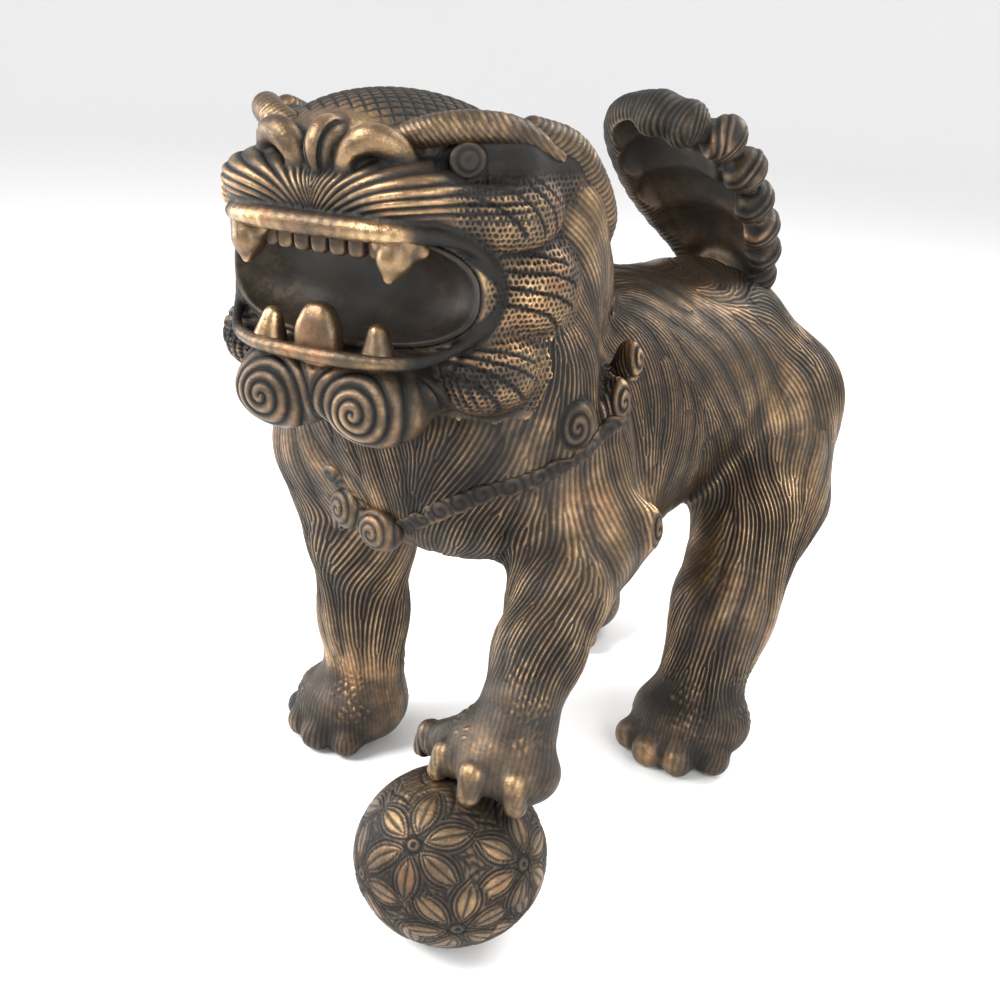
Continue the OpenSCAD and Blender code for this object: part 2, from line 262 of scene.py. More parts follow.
def surface_net(grid, low, step):
    inside = grid < 0
    n = np.array(grid.shape) - 1
    count = np.zeros(n, dtype=np.int8)
    for c in CORNERS:
        count += inside[c[0]:c[0] + n[0], c[1]:c[1] + n[1], c[2]:c[2] + n[2]]
    cells = np.argwhere((count > 0) & (count < 8))
    number = np.full(n, -1, dtype=np.int64)
    number[cells[:, 0], cells[:, 1], cells[:, 2]] = np.arange(len(cells))
    i, j, k = cells.T
    values = np.stack([grid[i + c[0], j + c[1], k + c[2]] for c in CORNERS], axis=1)
    total = np.zeros((len(cells), 3))
    hits = np.zeros(len(cells))
    for a, b in EDGES:
        va, vb = values[:, a].astype(float), values[:, b].astype(float)
        cross = (va < 0) != (vb < 0)
        t = np.where(cross, va / np.where(cross, va - vb, 1.0), 0.0)
        total += np.where(cross[:, None], CORNERS[a] + t[:, None] * (CORNERS[b] - CORNERS[a]), 0.0)
        hits += cross
    points = low + (cells + total / hits[:, None]) * step
    quads = []
    for axis in range(3):
        u, v = (axis + 1) % 3, (axis + 2) % 3
        first = [slice(1, -1)] * 3
        second = [slice(1, -1)] * 3
        first[axis] = slice(0, -1)
        second[axis] = slice(1, None)
        here, there = inside[tuple(first)], inside[tuple(second)]
        edge = np.argwhere(here != there)
        leaving = here[edge[:, 0], edge[:, 1], edge[:, 2]]
        base = edge.copy()
        base[:, u] += 1
        base[:, v] += 1
        ring = []
        for du, dv in ((-1, -1), (0, -1), (0, 0), (-1, 0)):
            cell = base.copy()
            cell[:, u] += du
            cell[:, v] += dv
            ring.append(number[cell[:, 0], cell[:, 1], cell[:, 2]])
        ring = np.stack(ring, axis=1)
        ring[~leaving] = ring[~leaving][:, ::-1]
        quads.append(ring)
    return points, np.concatenate(quads)


def quad_normals(points, quads):
    a, b, c, d = (points[quads[:, i]] for i in range(4))
    face = np.cross(c - a, d - b)
    normal = np.zeros_like(points)
    for axis in range(3):
        for corner in range(4):
            normal[:, axis] += np.bincount(quads[:, corner], weights=face[:, axis], minlength=len(points))
    return normal / np.maximum(length(normal), 1e-9)[:, None]


def finer(points, quads):
    """Each quad in four, then relaxed once, which rounds the skin off between its points."""
    corner = quads
    following = np.roll(quads, -1, axis=1)
    low = np.minimum(corner, following).astype(np.int64).ravel()
    high = np.maximum(corner, following).astype(np.int64).ravel()
    keys, index = np.unique(low * len(points) + high, return_inverse=True)
    ends = np.stack([keys // len(points), keys % len(points)], axis=1)
    middles = points[ends].mean(axis=1)
    centres = points[quads].mean(axis=1)
    edge = index.reshape(-1, 4) + len(points)
    centre = np.arange(len(quads)) + len(points) + len(middles)
    new = [np.stack([corner[:, i], edge[:, i], centre, edge[:, i - 1]], axis=1) for i in range(4)]
    new = np.concatenate(new)
    return relaxed(np.concatenate([points, middles, centres]), new, 1, 0.6), new


def relaxed(points, quads, rounds, share):
    """Points moved towards the mean of their neighbours; any further columns follow."""
    count = np.bincount(quads.ravel(), minlength=len(points)) * 2.0
    out = points
    for _ in range(rounds):
        total = np.zeros_like(out)
        for axis in range(out.shape[1]):
            for i in range(4):
                side = out[quads[:, i - 1], axis] + out[quads[:, (i + 1) % 4], axis]
                total[:, axis] += np.bincount(quads[:, i], weights=side, minlength=len(out))
        out = out + share * (total / count[:, None] - out)
    return out


# ---------------------------------------------------------------- anatomy

def torso_clay():
    c = Clay()
    c.add(cushion((-3, -56, 123), (50, 39, 36), power=2.5))
    c.add(egg((0, 2, 118), (38, 66, 51)), 14)
    c.add(egg((0, 62, 124), (41, 51, 42)), 18)
    return c


HEEL_RADIUS = 9


def leg(balls, blend, foot, heel, knuckles, claw=0.0):
    """Round limbs, the foot's (shape, blend) masses, and toes that spread from the heel, some with claws."""
    c = Clay().chain(balls, blend)
    for shape, foot_blend in foot:
        c.add(shape, foot_blend)
    for x, y, z, r in knuckles:
        c.add(limb(heel, (x, y, z), HEEL_RADIUS, r), 3.4)
    for x, y, z, r in knuckles:
        middle = (x * 0.9 + heel[0] * 0.1, y * 0.9 + heel[1] * 0.1, z + r * 0.3)
        c.add(egg(middle, (r * 0.8, r * 0.8, r * 0.75)), 1.8)
        if claw:
            out = unit([x - heel[0], y - heel[1]])
            root = (x + out[0] * r * 0.45, y + out[1] * r * 0.45, z + r * 0.25)
            tip = (x + out[0] * r * 0.85, y + out[1] * r * 0.85, z - r * 0.65)
            c.add(limb(root, tip, claw, claw * 0.75), 0.5)
    return c


LEGS = {
    "front_left": leg(
        [(30, -46, 114, 21), (40, -50, 99, 19), (48.5, -69, 88, 14), (55, -85, 78, 12), (59.5, -97, 69, 11.2)],
        6,
        [(egg((60, -103, 60.5), (13.5, 14, 9), (12, 0, 8)), 4), (egg((71, -105.5, 54), (7.5, 9, 7.5)), 4),
         (egg((57, -109, 53), (13, 7, 5.5)), 4)],
        (59, -103, 60),
        [(39.5, -108, 52.5, 5.4), (50.5, -112.5, 53.5, 5.7), (61, -115, 54, 6.1), (69.5, -111.5, 53.5, 6.0)],
        4.3),
    "front_right": leg(
        [(-39, -69, 115, 25.5), (-41, -62, 80, 17.5), (-44, -58, 48, 14.6), (-44, -57, 20, 14)], 7,
        [(egg((-47, -60, 13), (20.5, 19, 14.5)), 5)], (-47, -60, 11),
        [(-65.5, -67, 6, 5.6), (-57, -74, 6, 5.8), (-46.5, -77, 6, 5.8), (-36, -73, 6, 5.6)]),
    "rear_left": leg(
        [(27, 86, 115, 26), (37, 65, 84, 22.5), (42.5, 38, 48, 17.2), (44.5, 23, 22, 15)], 9,
        [(egg((45.5, 18.5, 13), (21.5, 20, 14)), 5)], (43.5, 14, 11),
        [(61.5, 9, 6, 5.8), (53, 0, 6, 6.0), (42, -2, 6, 6.0), (31, 3, 6, 5.8)]),
    "rear_right": leg(
        [(-27, 86, 115, 26), (-38, 76, 84, 21), (-43, 78, 45, 15), (-44, 72, 20, 14)], 9,
        [(egg((-44, 67, 12), (17.5, 20, 12)), 5)], (-44, 63, 11),
        [(-60, 56, 6, 5.8), (-51, 48, 6, 6.0), (-40, 47, 6, 6.0), (-29, 53, 6, 5.8)]),
}


def mane_clay():
    c = Clay(mirrored=True)
    c.add(egg((20, -54, 176), (20, 22, 38), (0, 8, 0)))
    c.add(egg((0, -40, 168), (30, 34, 34)), 14)
    c.add(egg((27, -62, 150), (20, 20, 24)), 8)
    return c


HEAD_PIVOT = np.array([0.0, -120.0, 180.0])
HEAD_AT = HEAD_PIVOT + (1.5, 0, 0)
HEAD_TURN = turned((0, 0, 12.0))


def in_head(p):
    """Figure points in the head's own frame, where it looks along -Y and x = 0 is its middle."""
    return (p - HEAD_AT) @ HEAD_TURN + HEAD_PIVOT


MOUTH_RIM = [
    (0, -123.5, 192), (14, -122.8, 192), (25, -119.8, 191.7), (33, -113, 191), (38.5, -104.5, 187.3),
    (41.5, -98.5, 179), (41, -99.5, 171), (37.5, -106, 163.8), (30.5, -115, 159.5), (22, -120, 158.5),
    (12, -123.0, 158.5), (0, -124, 158.5),
]
RIM_WIDTHS = [2.9, 2.9, 2.6, 2.0, 1.4, 1.25, 1.25, 1.3, 1.5, 1.9, 2.1, 2.1]


def smooth_path(points, radii, parts=4):
    """Points and radii along a soft curve through the given ones."""
    rows = np.column_stack([np.array(points, dtype=float), radii])
    ends = np.vstack([2 * rows[0] - rows[1], rows, 2 * rows[-1] - rows[-2]])
    out = []
    for i in range(len(rows) - 1):
        a, b, c, d = ends[i:i + 4]
        for t in np.arange(parts) / parts:
            out.append(0.5 * (2 * b + (c - a) * t + (2 * a - 5 * b + 4 * c - d) * t ** 2
                              + (3 * b - a - 3 * c + d) * t ** 3))
    return np.array(out + [rows[-1]])


def head_clay():
    c = Clay(mirrored=True)
    c.add(egg((0, -76, 198), (42, 30, 24)))
    c.add(egg((0, -90, 208), (30, 27, 16)), 8)
    c.add(cushion((0, -107, 199), (34, 16, 8.5), power=2.6), 4)
    c.add(egg((20, -109, 200.5), (16.5, 14.5, 8.8)), 2.5)
    c.add(egg((32, -100, 196), (9, 12, 9)), 4)
    c.add(egg((39, -87, 195.5), (11.5, 20, 11.5)), 3)
    c.add(egg((41.5, -79, 175.5), (12, 17, 14)), 2)
    c.add(cushion((0, -90, 175), (45, 24, 24), power=2.6), 3)
    temple = [(30, -93, 210, 6), (36, -84, 209, 7), (39, -68, 205, 8), (41, -56, 197, 8), (42, -50, 188, 7)]
    return c.chain(temple, 6)


def jaw_clay():
    c = Clay(mirrored=True)
    c.add(cushion((0, -106, 148.5), (31, 17, 11), power=2.6))
    c.add(egg((15.0, -113, 145), (15.5, 12.5, 11.6)), 1.5)
    c.add(egg((36.5, -91, 154), (13, 18, 12.5)), 2.5)
    c.add(egg((20, -80, 152), (26, 20, 15)), 6)
    return c


def nose_clay():
    c = Clay(mirrored=True)
    c.add(egg((13, -109, 208), (9, 8, 7)))
    wing = [(6.5, -116, 204.5), (8.5, -117.5, 209), (12.5, -117.5, 213), (17, -115.5, 213.2),
            (20.5, -112.5, 210), (21.5, -111, 204.5)]
    c.chain(smooth_path(wing, [3.2, 3.6, 3.7, 3.6, 3.3, 2.4]), 0.8)
    c.add(egg((0, -114.5, 210.5), (5.2, 8.5, 8.2)), 0.5)
    c.cut(egg((14.2, -119, 204.8), (4.4, 7.5, 5.0)), 0.8)
    return c


def rim_clay():
    c = Clay(mirrored=True)
    return c.chain(smooth_path(MOUTH_RIM, RIM_WIDTHS), 0.3)


def brow_clay():
    c = Clay(mirrored=True)
    arch = [(10, -107, 209.5), (17, -107, 213.5), (25, -105, 216), (33, -98, 217.3), (40, -87, 216),
            (45.5, -74, 209.5)]
    return c.chain(smooth_path(arch, [2.4, 3.4, 4.1, 4.1, 3.5, 1.6]), 0.3)


def ear_clay():
    c = Clay(mirrored=True)
    fold = [(40, -80, 216), (44, -67, 211.5), (46, -57, 203), (47, -49, 193), (46.5, -46, 186)]
    return c.chain(smooth_path(fold, [4.0, 5.0, 5.2, 4.6, 3.0]), 0.3)


SOCKET = egg((39, -99, 209), (13, 5.5, 5.5), (0, 0, 52))
EYE = egg((32.8, -100.9, 209.2), (5.0, 1.4, 4.7), (0, 0, 48))
MOUTH = cushion((0, -113, 175.3), (41, 18.5, 14.5), power=2.4)

CURLS = [
    ((44, -62, 138), (0.80, -0.58, -0.1), 5.6, 7.4), ((46, -45, 142), (0.93, -0.35, 0.0), 3.8, 6.4),
    ((42, -34, 151), (0.95, -0.2, 0.2), 3.0, 5.8), ((57, -38, 104), (0.95, -0.3, 0.0), 3.0, 5.6),
    ((51, 76, 80), (0.98, 0.0, -0.2), 4.4, 5.6),
]


def mirror_pairs(items):
    """Each (point, axis, half width, half height), and again on the other side."""
    flip = np.array([-1.0, 1.0, 1.0])
    both = [(np.array(c, dtype=float), np.array(a, dtype=float), wide, tall) for c, a, wide, tall in items]
    return both + [(c * flip, a * flip, wide, tall) for c, a, wide, tall in both]


ALL_CURLS = mirror_pairs(CURLS)
IN_HEAD = ("head", "jaw")
MASSES = {"torso": torso_clay(), "mane": mane_clay(), "head": head_clay(), "jaw": jaw_clay(), **LEGS}
for middle, axis, wide, tall in ALL_CURLS:
    turn = math.degrees(math.atan2(-axis[0], axis[1]))
    if middle[2] > 120 and middle[1] < 0:
        MASSES["mane"].add(egg((abs(middle[0]), *middle[1:]), (wide, 5, tall), (0, 0, -abs(turn))), 1.0)
    else:
        MASSES["torso"].add(egg(middle, (wide, 4.5, tall), (0, 0, turn)), 1.0)
NOSE = nose_clay()
RIM = rim_clay()
SOCKETS = Clay(mirrored=True).add(SOCKET)
BROW = brow_clay()
EAR = ear_clay()
LINING = 1.6
TUCK = 1.6
TUCK_SLOPE = 0.35
LIPS_PART = 166
LEG_BLEND = 9
MANE_BLEND = 8
FACE_BLEND = 2.5
SOCKET_BLEND = 3
NOSE_BLEND = 1.5
RIM_BLEND = 2
MOUTH_BLEND = 1.4


def mass_distances(p, q):
    return {name: clay(q if name in IN_HEAD else p) for name, clay in MASSES.items()}


def mouth_distance(q):
    d = np.full(len(q), FAR)
    near = np.flatnonzero(length(q - MOUTH.middle) < MOUTH.reach + BAND)
    d[near] = MOUTH.distance(q[near])
    return d


def whole(q, parts, mouth):
    """The whole figure from its masses; q are the points in the head's frame."""
    d = parts["torso"]
    for name in LEGS:
        d = join(d, parts[name], LEG_BLEND)
    d = join(d, parts["mane"], MANE_BLEND)
    d = join(d, parts["jaw"], FACE_BLEND)
    d = join(d, parts["head"], FACE_BLEND)
    d = -join(-d, SOCKETS(q), SOCKET_BLEND)
    d = join(d, NOSE(q), NOSE_BLEND)
    d = join(d, RIM(q), RIM_BLEND)
    return -join(-d, mouth, MOUTH_BLEND)


def figure(p):
    q = in_head(p)
    return whole(q, mass_distances(p, q), mouth_distance(q))


def body_piece(name):
    """One casting: what is nearest to its own mass, its edge tucked under its neighbours."""
    def field(p):
        q = in_head(p)
        parts = mass_distances(p, q)
        mouth = mouth_distance(q)
        d = whole(q, parts, mouth)
        rim = RIM(q)
        upper = rim + np.maximum(LIPS_PART - q[:, 2], 0) * 2
        lower = rim + np.maximum(q[:, 2] - LIPS_PART, 0) * 2
        parts["head"] = np.minimum(parts["head"], np.minimum(NOSE(q), upper))
        parts["jaw"] = np.minimum(parts["jaw"], lower)
        others = np.min([parts[n] for n in MASSES if n != name], axis=0)
        own = (parts[name] - others) / 2
        dive = TUCK_SLOPE * np.clip(own, 0, TUCK)
        keep = LINING * np.clip((rim - 0.2) / 1.0, 0, 1) - mouth
        return np.maximum(np.maximum(d + dive, own - TUCK), keep)
    return field


def lining_piece(p):
    q = in_head(p)
    mouth = mouth_distance(q)
    d = np.maximum(whole(q, mass_distances(p, q), mouth), mouth - LINING)
    return np.maximum(d, 0.4 - RIM(q))


COLLAR = [
    (0, -92, 99), (10, -93, 104), (22, -92, 112), (34, -88, 119), (45, -76, 124), (50, -60, 130),
    (47, -42, 138), (40, -28, 150), (24, -16, 162), (0, -10, 168),
]


def collar_piece(p):
    band = Clay(mirrored=True)
    for i in range(len(COLLAR) - 1):
        band.add(limb(COLLAR[i], COLLAR[i + 1], 3.2, 3.2), 1)
    near = np.flatnonzero(band(p) < 4)
    d = np.full(len(p), FAR)
    if len(near):
        body = figure(p[near])
        d[near] = np.maximum(-join(-(body - 0.65), -band(p[near]), 1.4), -body - 2.0)
    return d


# ---------------------------------------------------------------- tail, ball and teeth

PLUME_AT = np.array([5.0, 0.0, 0.0])
PLUME_SPINE = [(79, 158, 13), (74, 170, 17), (66, 182, 20.5), (54, 194, 22.5), (40, 205, 20.5), (28, 212, 15)]
PLUME_FRONT = np.array([0.0, -0.62, -0.5])
PLUME_LEAN = (42, 0, 0)
PLUME_RIM = [
    (13, 80, 160, 6), (17, 73, 170, 6.4), (21, 62, 180, 6.8), (24, 50, 190, 7.0), (26, 39, 201, 7.2),
    (23, 29, 211, 7.4), (14.5, 19, 215, 7.4), (6, 15, 217.5, 7.4),
]
PLUME_HEM = [
    (-13, 80, 160), (-17, 73, 170), (-20.5, 62, 180), (-21.5, 50, 190), (-19.5, 38, 200), (-15.5, 27, 209),
    (-9, 19, 215), (-1, 15, 217.5),
]


def scoops():
    """The hollow of the plume, one egg for each step up its spine."""
    for y, z, half in PLUME_SPINE[1:]:
        yield egg(np.array([0, y, z]) + 12 * PLUME_FRONT, (half - 3, 7.5, 13), PLUME_LEAN)


def plume_clay():
    """A scooped fan: lobes down one edge, a plain thick hem down the other."""
    c = Clay()
    for y, z, half in PLUME_SPINE:
        c.add(egg((0, y, z), (half + 3, 9, 15), PLUME_LEAN), 6)
    c.chain(smooth_path(PLUME_HEM, [4.8, 5.0, 5.3, 5.5, 5.6, 5.7, 5.8, 5.8], 2), 3.0)
    for x, y, z, r in PLUME_RIM:
        c.add(egg((x, y, z), (r, r * 1.2, r * 0.9), PLUME_LEAN), 3.0)
    for scoop in scoops():
        c.cut(scoop, 3)
    c.add(limb((0, 84, 142), (0, 80, 158), 12, 13), 4)
    return c


PLUME_CLAY = plume_clay()


def plume(p):
    return PLUME_CLAY(p - PLUME_AT)


BALL_AT = (51, -114, 23.8)
BALL_RADII = (27, 27, 23.8)


def teeth_clay():
    fangs = Clay(mirrored=True)
    fangs.chain([(23.5, -116, 190, 6.2), (23, -118.5, 185.5, 4.4), (22.5, -120, 180.5, 1.5)], 1.5)
    fangs.add(limb((18.5, -118.5, 188.5), (28.5, -115, 187.5), 2.2, 2.2), 1.5)
    top = Clay(mirrored=True)
    for x, y in ((0, -117.8), (5.6, -117.6), (11.2, -117.2), (16.6, -116)):
        top.add(cushion((x, y, 188.5), (2.6, 2.4, 4.6), power=3.0), 0.2)
    low = Clay(mirrored=True)
    low.add(cushion((0, -119, 161), (6.8, 4, 7), power=2.8))
    low.add(cushion((0, -118.6, 166.5), (4.8, 3.4, 5), power=2.6), 3)
    low.add(limb((17.6, -117, 159), (17.0, -116.6, 165), 4.6, 2.7))
    return fangs, top, low


FANGS, TOP_TEETH, LOW_TEETH = teeth_clay()


# ---------------------------------------------------------------- hair laid in locks

def soft(x, a, b):
    t = np.clip((x - a) / (b - a), 0, 1)
    return t * t * (3 - 2 * t)


def between(x, a, b, edge=1.5):
    return soft(x, a - edge, a + edge) * (1 - soft(x, b - edge, b + edge))


GUIDES = [
    ((0, -10, 168), (0, 1, 0.0)), ((0, 60, 167), (0, 1, 0)), ((0, 105, 140), (0, 0.3, -1)),
    ((22, 20, 158), (0.5, 0.9, -0.3)), ((36, 5, 140), (0.2, 0.75, -0.7)),
    ((39, 25, 118), (0, 0.55, -0.85)), ((30, 15, 88), (-0.3, 0.8, -0.5)), ((0, 10, 70), (0, 1, 0)),
    ((44, -30, 142), (0.1, 0.3, -1)), ((52, -44, 122), (0.1, -0.1, -1)),
    ((54, -48, 104), (0.0, -0.25, -1)), ((62, -72, 92), (0.1, -0.8, -0.7)),
    ((66, -92, 78), (0.1, -0.75, -0.7)), ((56, -84, 86), (0.3, -0.8, -0.6)),
    ((47, -66, 98), (0.3, -0.6, -0.8)), ((46, -74, 80), (0.3, -0.75, -0.65)),
    ((0, -94, 125), (0.02, 0, -1)), ((22, -93, 122), (-0.65, 0, -0.8)), ((38, -88, 112), (-0.3, 0.1, -1)),
    ((-52, -68, 105), (0.1, -0.1, -1)), ((-50, -62, 60), (0.05, 0, -1)), ((-44, -60, 25), (0, 0, -1)),
    ((44, 60, 140), (0.3, 0.6, -0.8)), ((52, 88, 120), (0.1, 0.1, -1)), ((30, 110, 110), (-0.2, 0.2, -1)),
    ((56, 66, 92), (0.0, -0.55, -0.85)), ((56, 44, 62), (0, -0.5, -0.9)), ((54, 28, 30), (0, -0.2, -1)),
    ((30, -20, 190), (0.3, 0.6, -0.7)), ((46, -45, 175), (0.1, 0.0, -1)), ((0, -30, 200), (0, 1, -0.5)),
    ((40, -50, 150), (0.0, 0.1, -1)), ((-44, 75, 60), (0, -0.1, -1)),
]


def guide_field():
    at, to = [], []
    for where, toward in GUIDES:
        for side in ((1, -1) if abs(where[0]) > 5 else (1,)):
            at.append((where[0] * side, where[1], where[2]))
            to.append((toward[0] * side, toward[1], toward[2]))
    to = np.array(to, dtype=float)
    return np.array(at, dtype=float), to / length(to)[:, None]


GUIDE_AT, GUIDE_TO = guide_field()


def flow(p, n):
    d2 = ((p[:, None, :] - GUIDE_AT[None]) ** 2).sum(axis=2)
    w = 1.0 / (d2 + 60.0) ** 2
    t = w @ GUIDE_TO
    t -= n * (t * n).sum(axis=1)[:, None]
    return t / np.maximum(length(t), 1e-6)[:, None]


WANDER = [(0.08, 0.40), (0.14, 0.34)]


def wander(p, rng):
    """A slow random swing, in radians: (waves per mm times 2 pi, size) pairs in random directions."""
    out = np.zeros(len(p))
    for rate, size in WANDER:
        for _ in range(3):
            way = rng.normal(size=3)
            way *= rate / math.sqrt(way @ way)
            out += size / 1.7 * np.sin(p @ way + rng.random() * 2 * np.pi)
    return out


class Strands:
    """A wave across the hair's flow, kept in step from point to neighbouring point of a coarse skin."""

    ROUNDS = 900
    CELL = 5.0
    REACH = 4.2
    SPREAD = 1.45

    def __init__(self, points, quads, normals, pitch, seed):
        rng = np.random.default_rng(seed)
        forearm = soft(-points[:, 1], 62, 76) * (1 - soft(points[:, 2], 104, 114))
        loose = np.minimum(soft(points[:, 2], 78, 98), 1 - forearm)
        angle = wander(points, np.random.default_rng(SEED)) * (0.3 + 0.7 * loose)
        t = flow(points, normals)
        b = np.cross(normals, t) * np.cos(angle)[:, None] - t * np.sin(angle)[:, None]
        size = pitch * (1 + 0.16 * np.sin(points @ np.array([0.05, 0.04, 0.06]) + 1.0))
        self.p = points
        self.way = b * (2 * np.pi / size)[:, None]
        edges = np.concatenate([quads[:, [k, (k + 1) % 4]] for k in range(4)])
        i, j = np.unique(np.sort(edges, axis=1), axis=0).T
        step = ((self.way[i] + self.way[j]) / 2 * (points[j] - points[i])).sum(axis=1)
        ahead = np.exp(1j * step)
        z = np.exp(2j * np.pi * rng.random(len(points)))
        ends, starts = np.concatenate([j, i]), np.concatenate([i, j])
        carry = np.concatenate([ahead, ahead.conj()])
        for _ in range(self.ROUNDS):
            sent = z[starts] * carry
            total = np.bincount(ends, sent.real, len(z)) + 1j * np.bincount(ends, sent.imag, len(z)) + 0.3 * z
            z = total / np.maximum(np.abs(total), 1e-9)
        self.z = z

    def phase(self, points):
        """The wave's angle at any points near the skin."""
        out = np.zeros(len(points))
        keys = np.floor(points / self.CELL).astype(int)
        _, which = np.unique(keys @ np.array([1, 1000, 1000000]), return_inverse=True)
        order = np.argsort(which, kind="stable")
        starts = np.flatnonzero(np.diff(which[order], prepend=-1))
        by_x = np.argsort(self.p[:, 0])
        xs = self.p[by_x, 0]
        for part in np.split(order, starts[1:]):
            q = points[part]
            low, high = q.min(axis=0) - self.REACH, q.max(axis=0) + self.REACH
            near = by_x[np.searchsorted(xs, low[0]):np.searchsorted(xs, high[0])]
            near = near[((self.p[near] > low) & (self.p[near] < high)).all(axis=1)]
            if len(near) == 0:
                continue
            off = q[:, None, :] - self.p[near][None]
            weight = np.exp(-(off ** 2).sum(axis=2) / (2 * self.SPREAD ** 2))
            turn = np.einsum("abc,bc->ab", off, self.way[near]) + np.angle(self.z[near])
            out[part] = np.arctan2((weight * np.sin(turn)).sum(axis=1), (weight * np.cos(turn)).sum(axis=1))
        return out


# ---------------------------------------------------------------- chased patterns

def from_segment(p, a, b):
    a, b = np.array(a, dtype=float), np.array(b, dtype=float)
    t = np.clip(((p - a) @ (b - a)) / ((b - a) @ (b - a)), 0, 1)
    return length(p - a - t[:, None] * (b - a))


def ridges(x, pitch, sharp=0.42):
    return (0.5 - 0.5 * np.cos(2 * np.pi * x / pitch)) ** sharp - 1


def pits(u, v, pitch, size):
    """Punched dots in staggered rows."""
    row = np.round(v / (pitch * 0.866))
    du = u - pitch * (np.round(u / pitch - 0.5 * (row % 2)) + 0.5 * (row % 2))
    dv = v - row * pitch * 0.866
    jitter = 0.25 * np.sin(row * 12.9 + np.round(u / pitch) * 4.1)
    r = np.sqrt((du - jitter) ** 2 + (dv + jitter * 0.6) ** 2)
    return -np.clip(1 - (r / size) ** 2, 0, 1) ** 0.7


def spiral(u, v, pitch, turns=1.0):
    r = np.sqrt(u * u + v * v)
    return ridges(r - turns * pitch * np.arctan2(v, u) / (2 * np.pi), pitch, 0.28)


def stroke(p, points, width):
    d = np.min([from_segment(p, points[i], points[i + 1]) for i in range(len(points) - 1)], axis=0)
    return -np.exp(-(d / width) ** 2)


CHEEK_STROKES = [
    [(36, -106, 201), (40, -101, 196), (43, -96, 191)], [(40, -100, 204), (44, -94, 198), (47, -88, 191)],
    [(44, -94, 205), (47, -87, 199), (49, -80, 190)], [(46, -88, 205), (49, -80, 199), (50, -73, 191)],
    [(42, -98, 186), (48, -89, 186), (53, -79, 183)], [(43, -97, 182), (50, -86, 181), (54, -75, 177)],
    [(43, -97, 178), (50, -85, 175), (54, -74, 170)], [(42, -99, 174), (49, -87, 170), (53, -77, 164)],
    [(39, -106, 163), (45, -97, 161), (50, -88, 157)], [(38, -107, 161), (44, -97, 157), (49, -87, 152)],
    [(36, -110, 160), (42, -101, 154), (46, -91, 147)], [(34, -112, 158), (39, -105, 151), (43, -96, 143)],
    [(32, -114, 157), (36, -109, 150), (39, -102, 141)],
]


def head_relief(q):
    """Muzzle ridges, chin spirals, punched cheeks, scales on the crown; millimetres."""
    x, y, z = np.abs(q[:, 0]), q[:, 1], q[:, 2]
    m = folded(q)
    out = np.zeros(len(q))
    whisker = between(z, 195.4, 212, 0.5) * soft(-y, 90, 103) * (1 - soft(z - (0.1 * x), 206, 208))
    fan = np.log(np.maximum(z - 184, 4) / (1.3 - np.exp(-x / 16.0))) * 6.3
    out += 0.9 * ridges(fan, 1.0, 0.3) * whisker
    crease = np.exp(-((x - 1.6 - 0.12 * (z - 204)) / 0.5) ** 2) * soft(z, 203, 206) * soft(-y, 112, 116)
    cu, cv = x - 15.0, z - 144.6
    r = np.sqrt(cu * cu + cv * cv)
    chin = (1 - soft(r, 14.5, 16.5)) * soft(-y, 107, 112) * (1 - soft(z, 155, 156.5))
    out += 0.9 * spiral(cu, cv, 3.3) * chin
    under = soft(-y, 100, 106) * (1 - soft(z, 155, 157)) * soft(r, 14.5, 16.5)
    out += 0.45 * ridges(r, 2.6) * under
    low_cheek = between(z, 143, 189, 1) * soft(x - 0.15 * (y + 100), 41, 43)
    high_cheek = between(z, 186, 205.5, 1) * soft(x + (y + 116) * 0.3, 35, 41)
    jowl = between(z, 143, 158, 1) * soft(x, 31, 33) * (1 - soft(y, -75, -70))
    dotted = np.maximum(np.maximum(low_cheek, high_cheek) * (1 - soft(y, -66, -60)), jowl)
    out += 0.55 * pits(1.2 * (x + y) / math.sqrt(2), z, 1.8, 0.62) * dotted
    side = np.stack([np.zeros(len(q)), y, z], axis=1)
    for points in CHEEK_STROKES:
        flat = [(0, b, c) for _, b, c in points]
        out += 0.62 * stroke(side, flat, 0.5) * soft(x, 27, 31)
    crown = soft(z, 209, 212) * (1 - soft(x, 22, 26)) * (1 - soft(-y, 106, 110)) * soft(-y, 60, 66)
    a, b = (q[:, 0] + y) / 4.4, (q[:, 0] - y) / 4.4
    scale = np.maximum(*(np.exp(-((v - np.round(v)) / 0.13) ** 2) for v in (a, b)))
    fine = ridges(y + 0.3 * x, 1.5)
    out += (-0.5 * scale + 0.12 * fine) * crown
    eye = from_segment(m, (33.2, -102.5, 208.3), (33.3, -102.6, 208.3))
    out += -0.4 * np.exp(-((eye - 7.4) / 0.5) ** 2)
    return out * soft(RIM(q), 0.2, 1.2) * soft(NOSE(q), 0.1, 1.0) - 0.8 * crease


def eye_relief(points, normal):
    """A hollow pupil inside an engraved ring."""
    r = length(folded(in_head(points)) - EYE.middle)
    return -0.8 * np.exp(-(r / 1.2) ** 2) - 0.35 * np.exp(-((r - 3.4) / 0.5) ** 2)


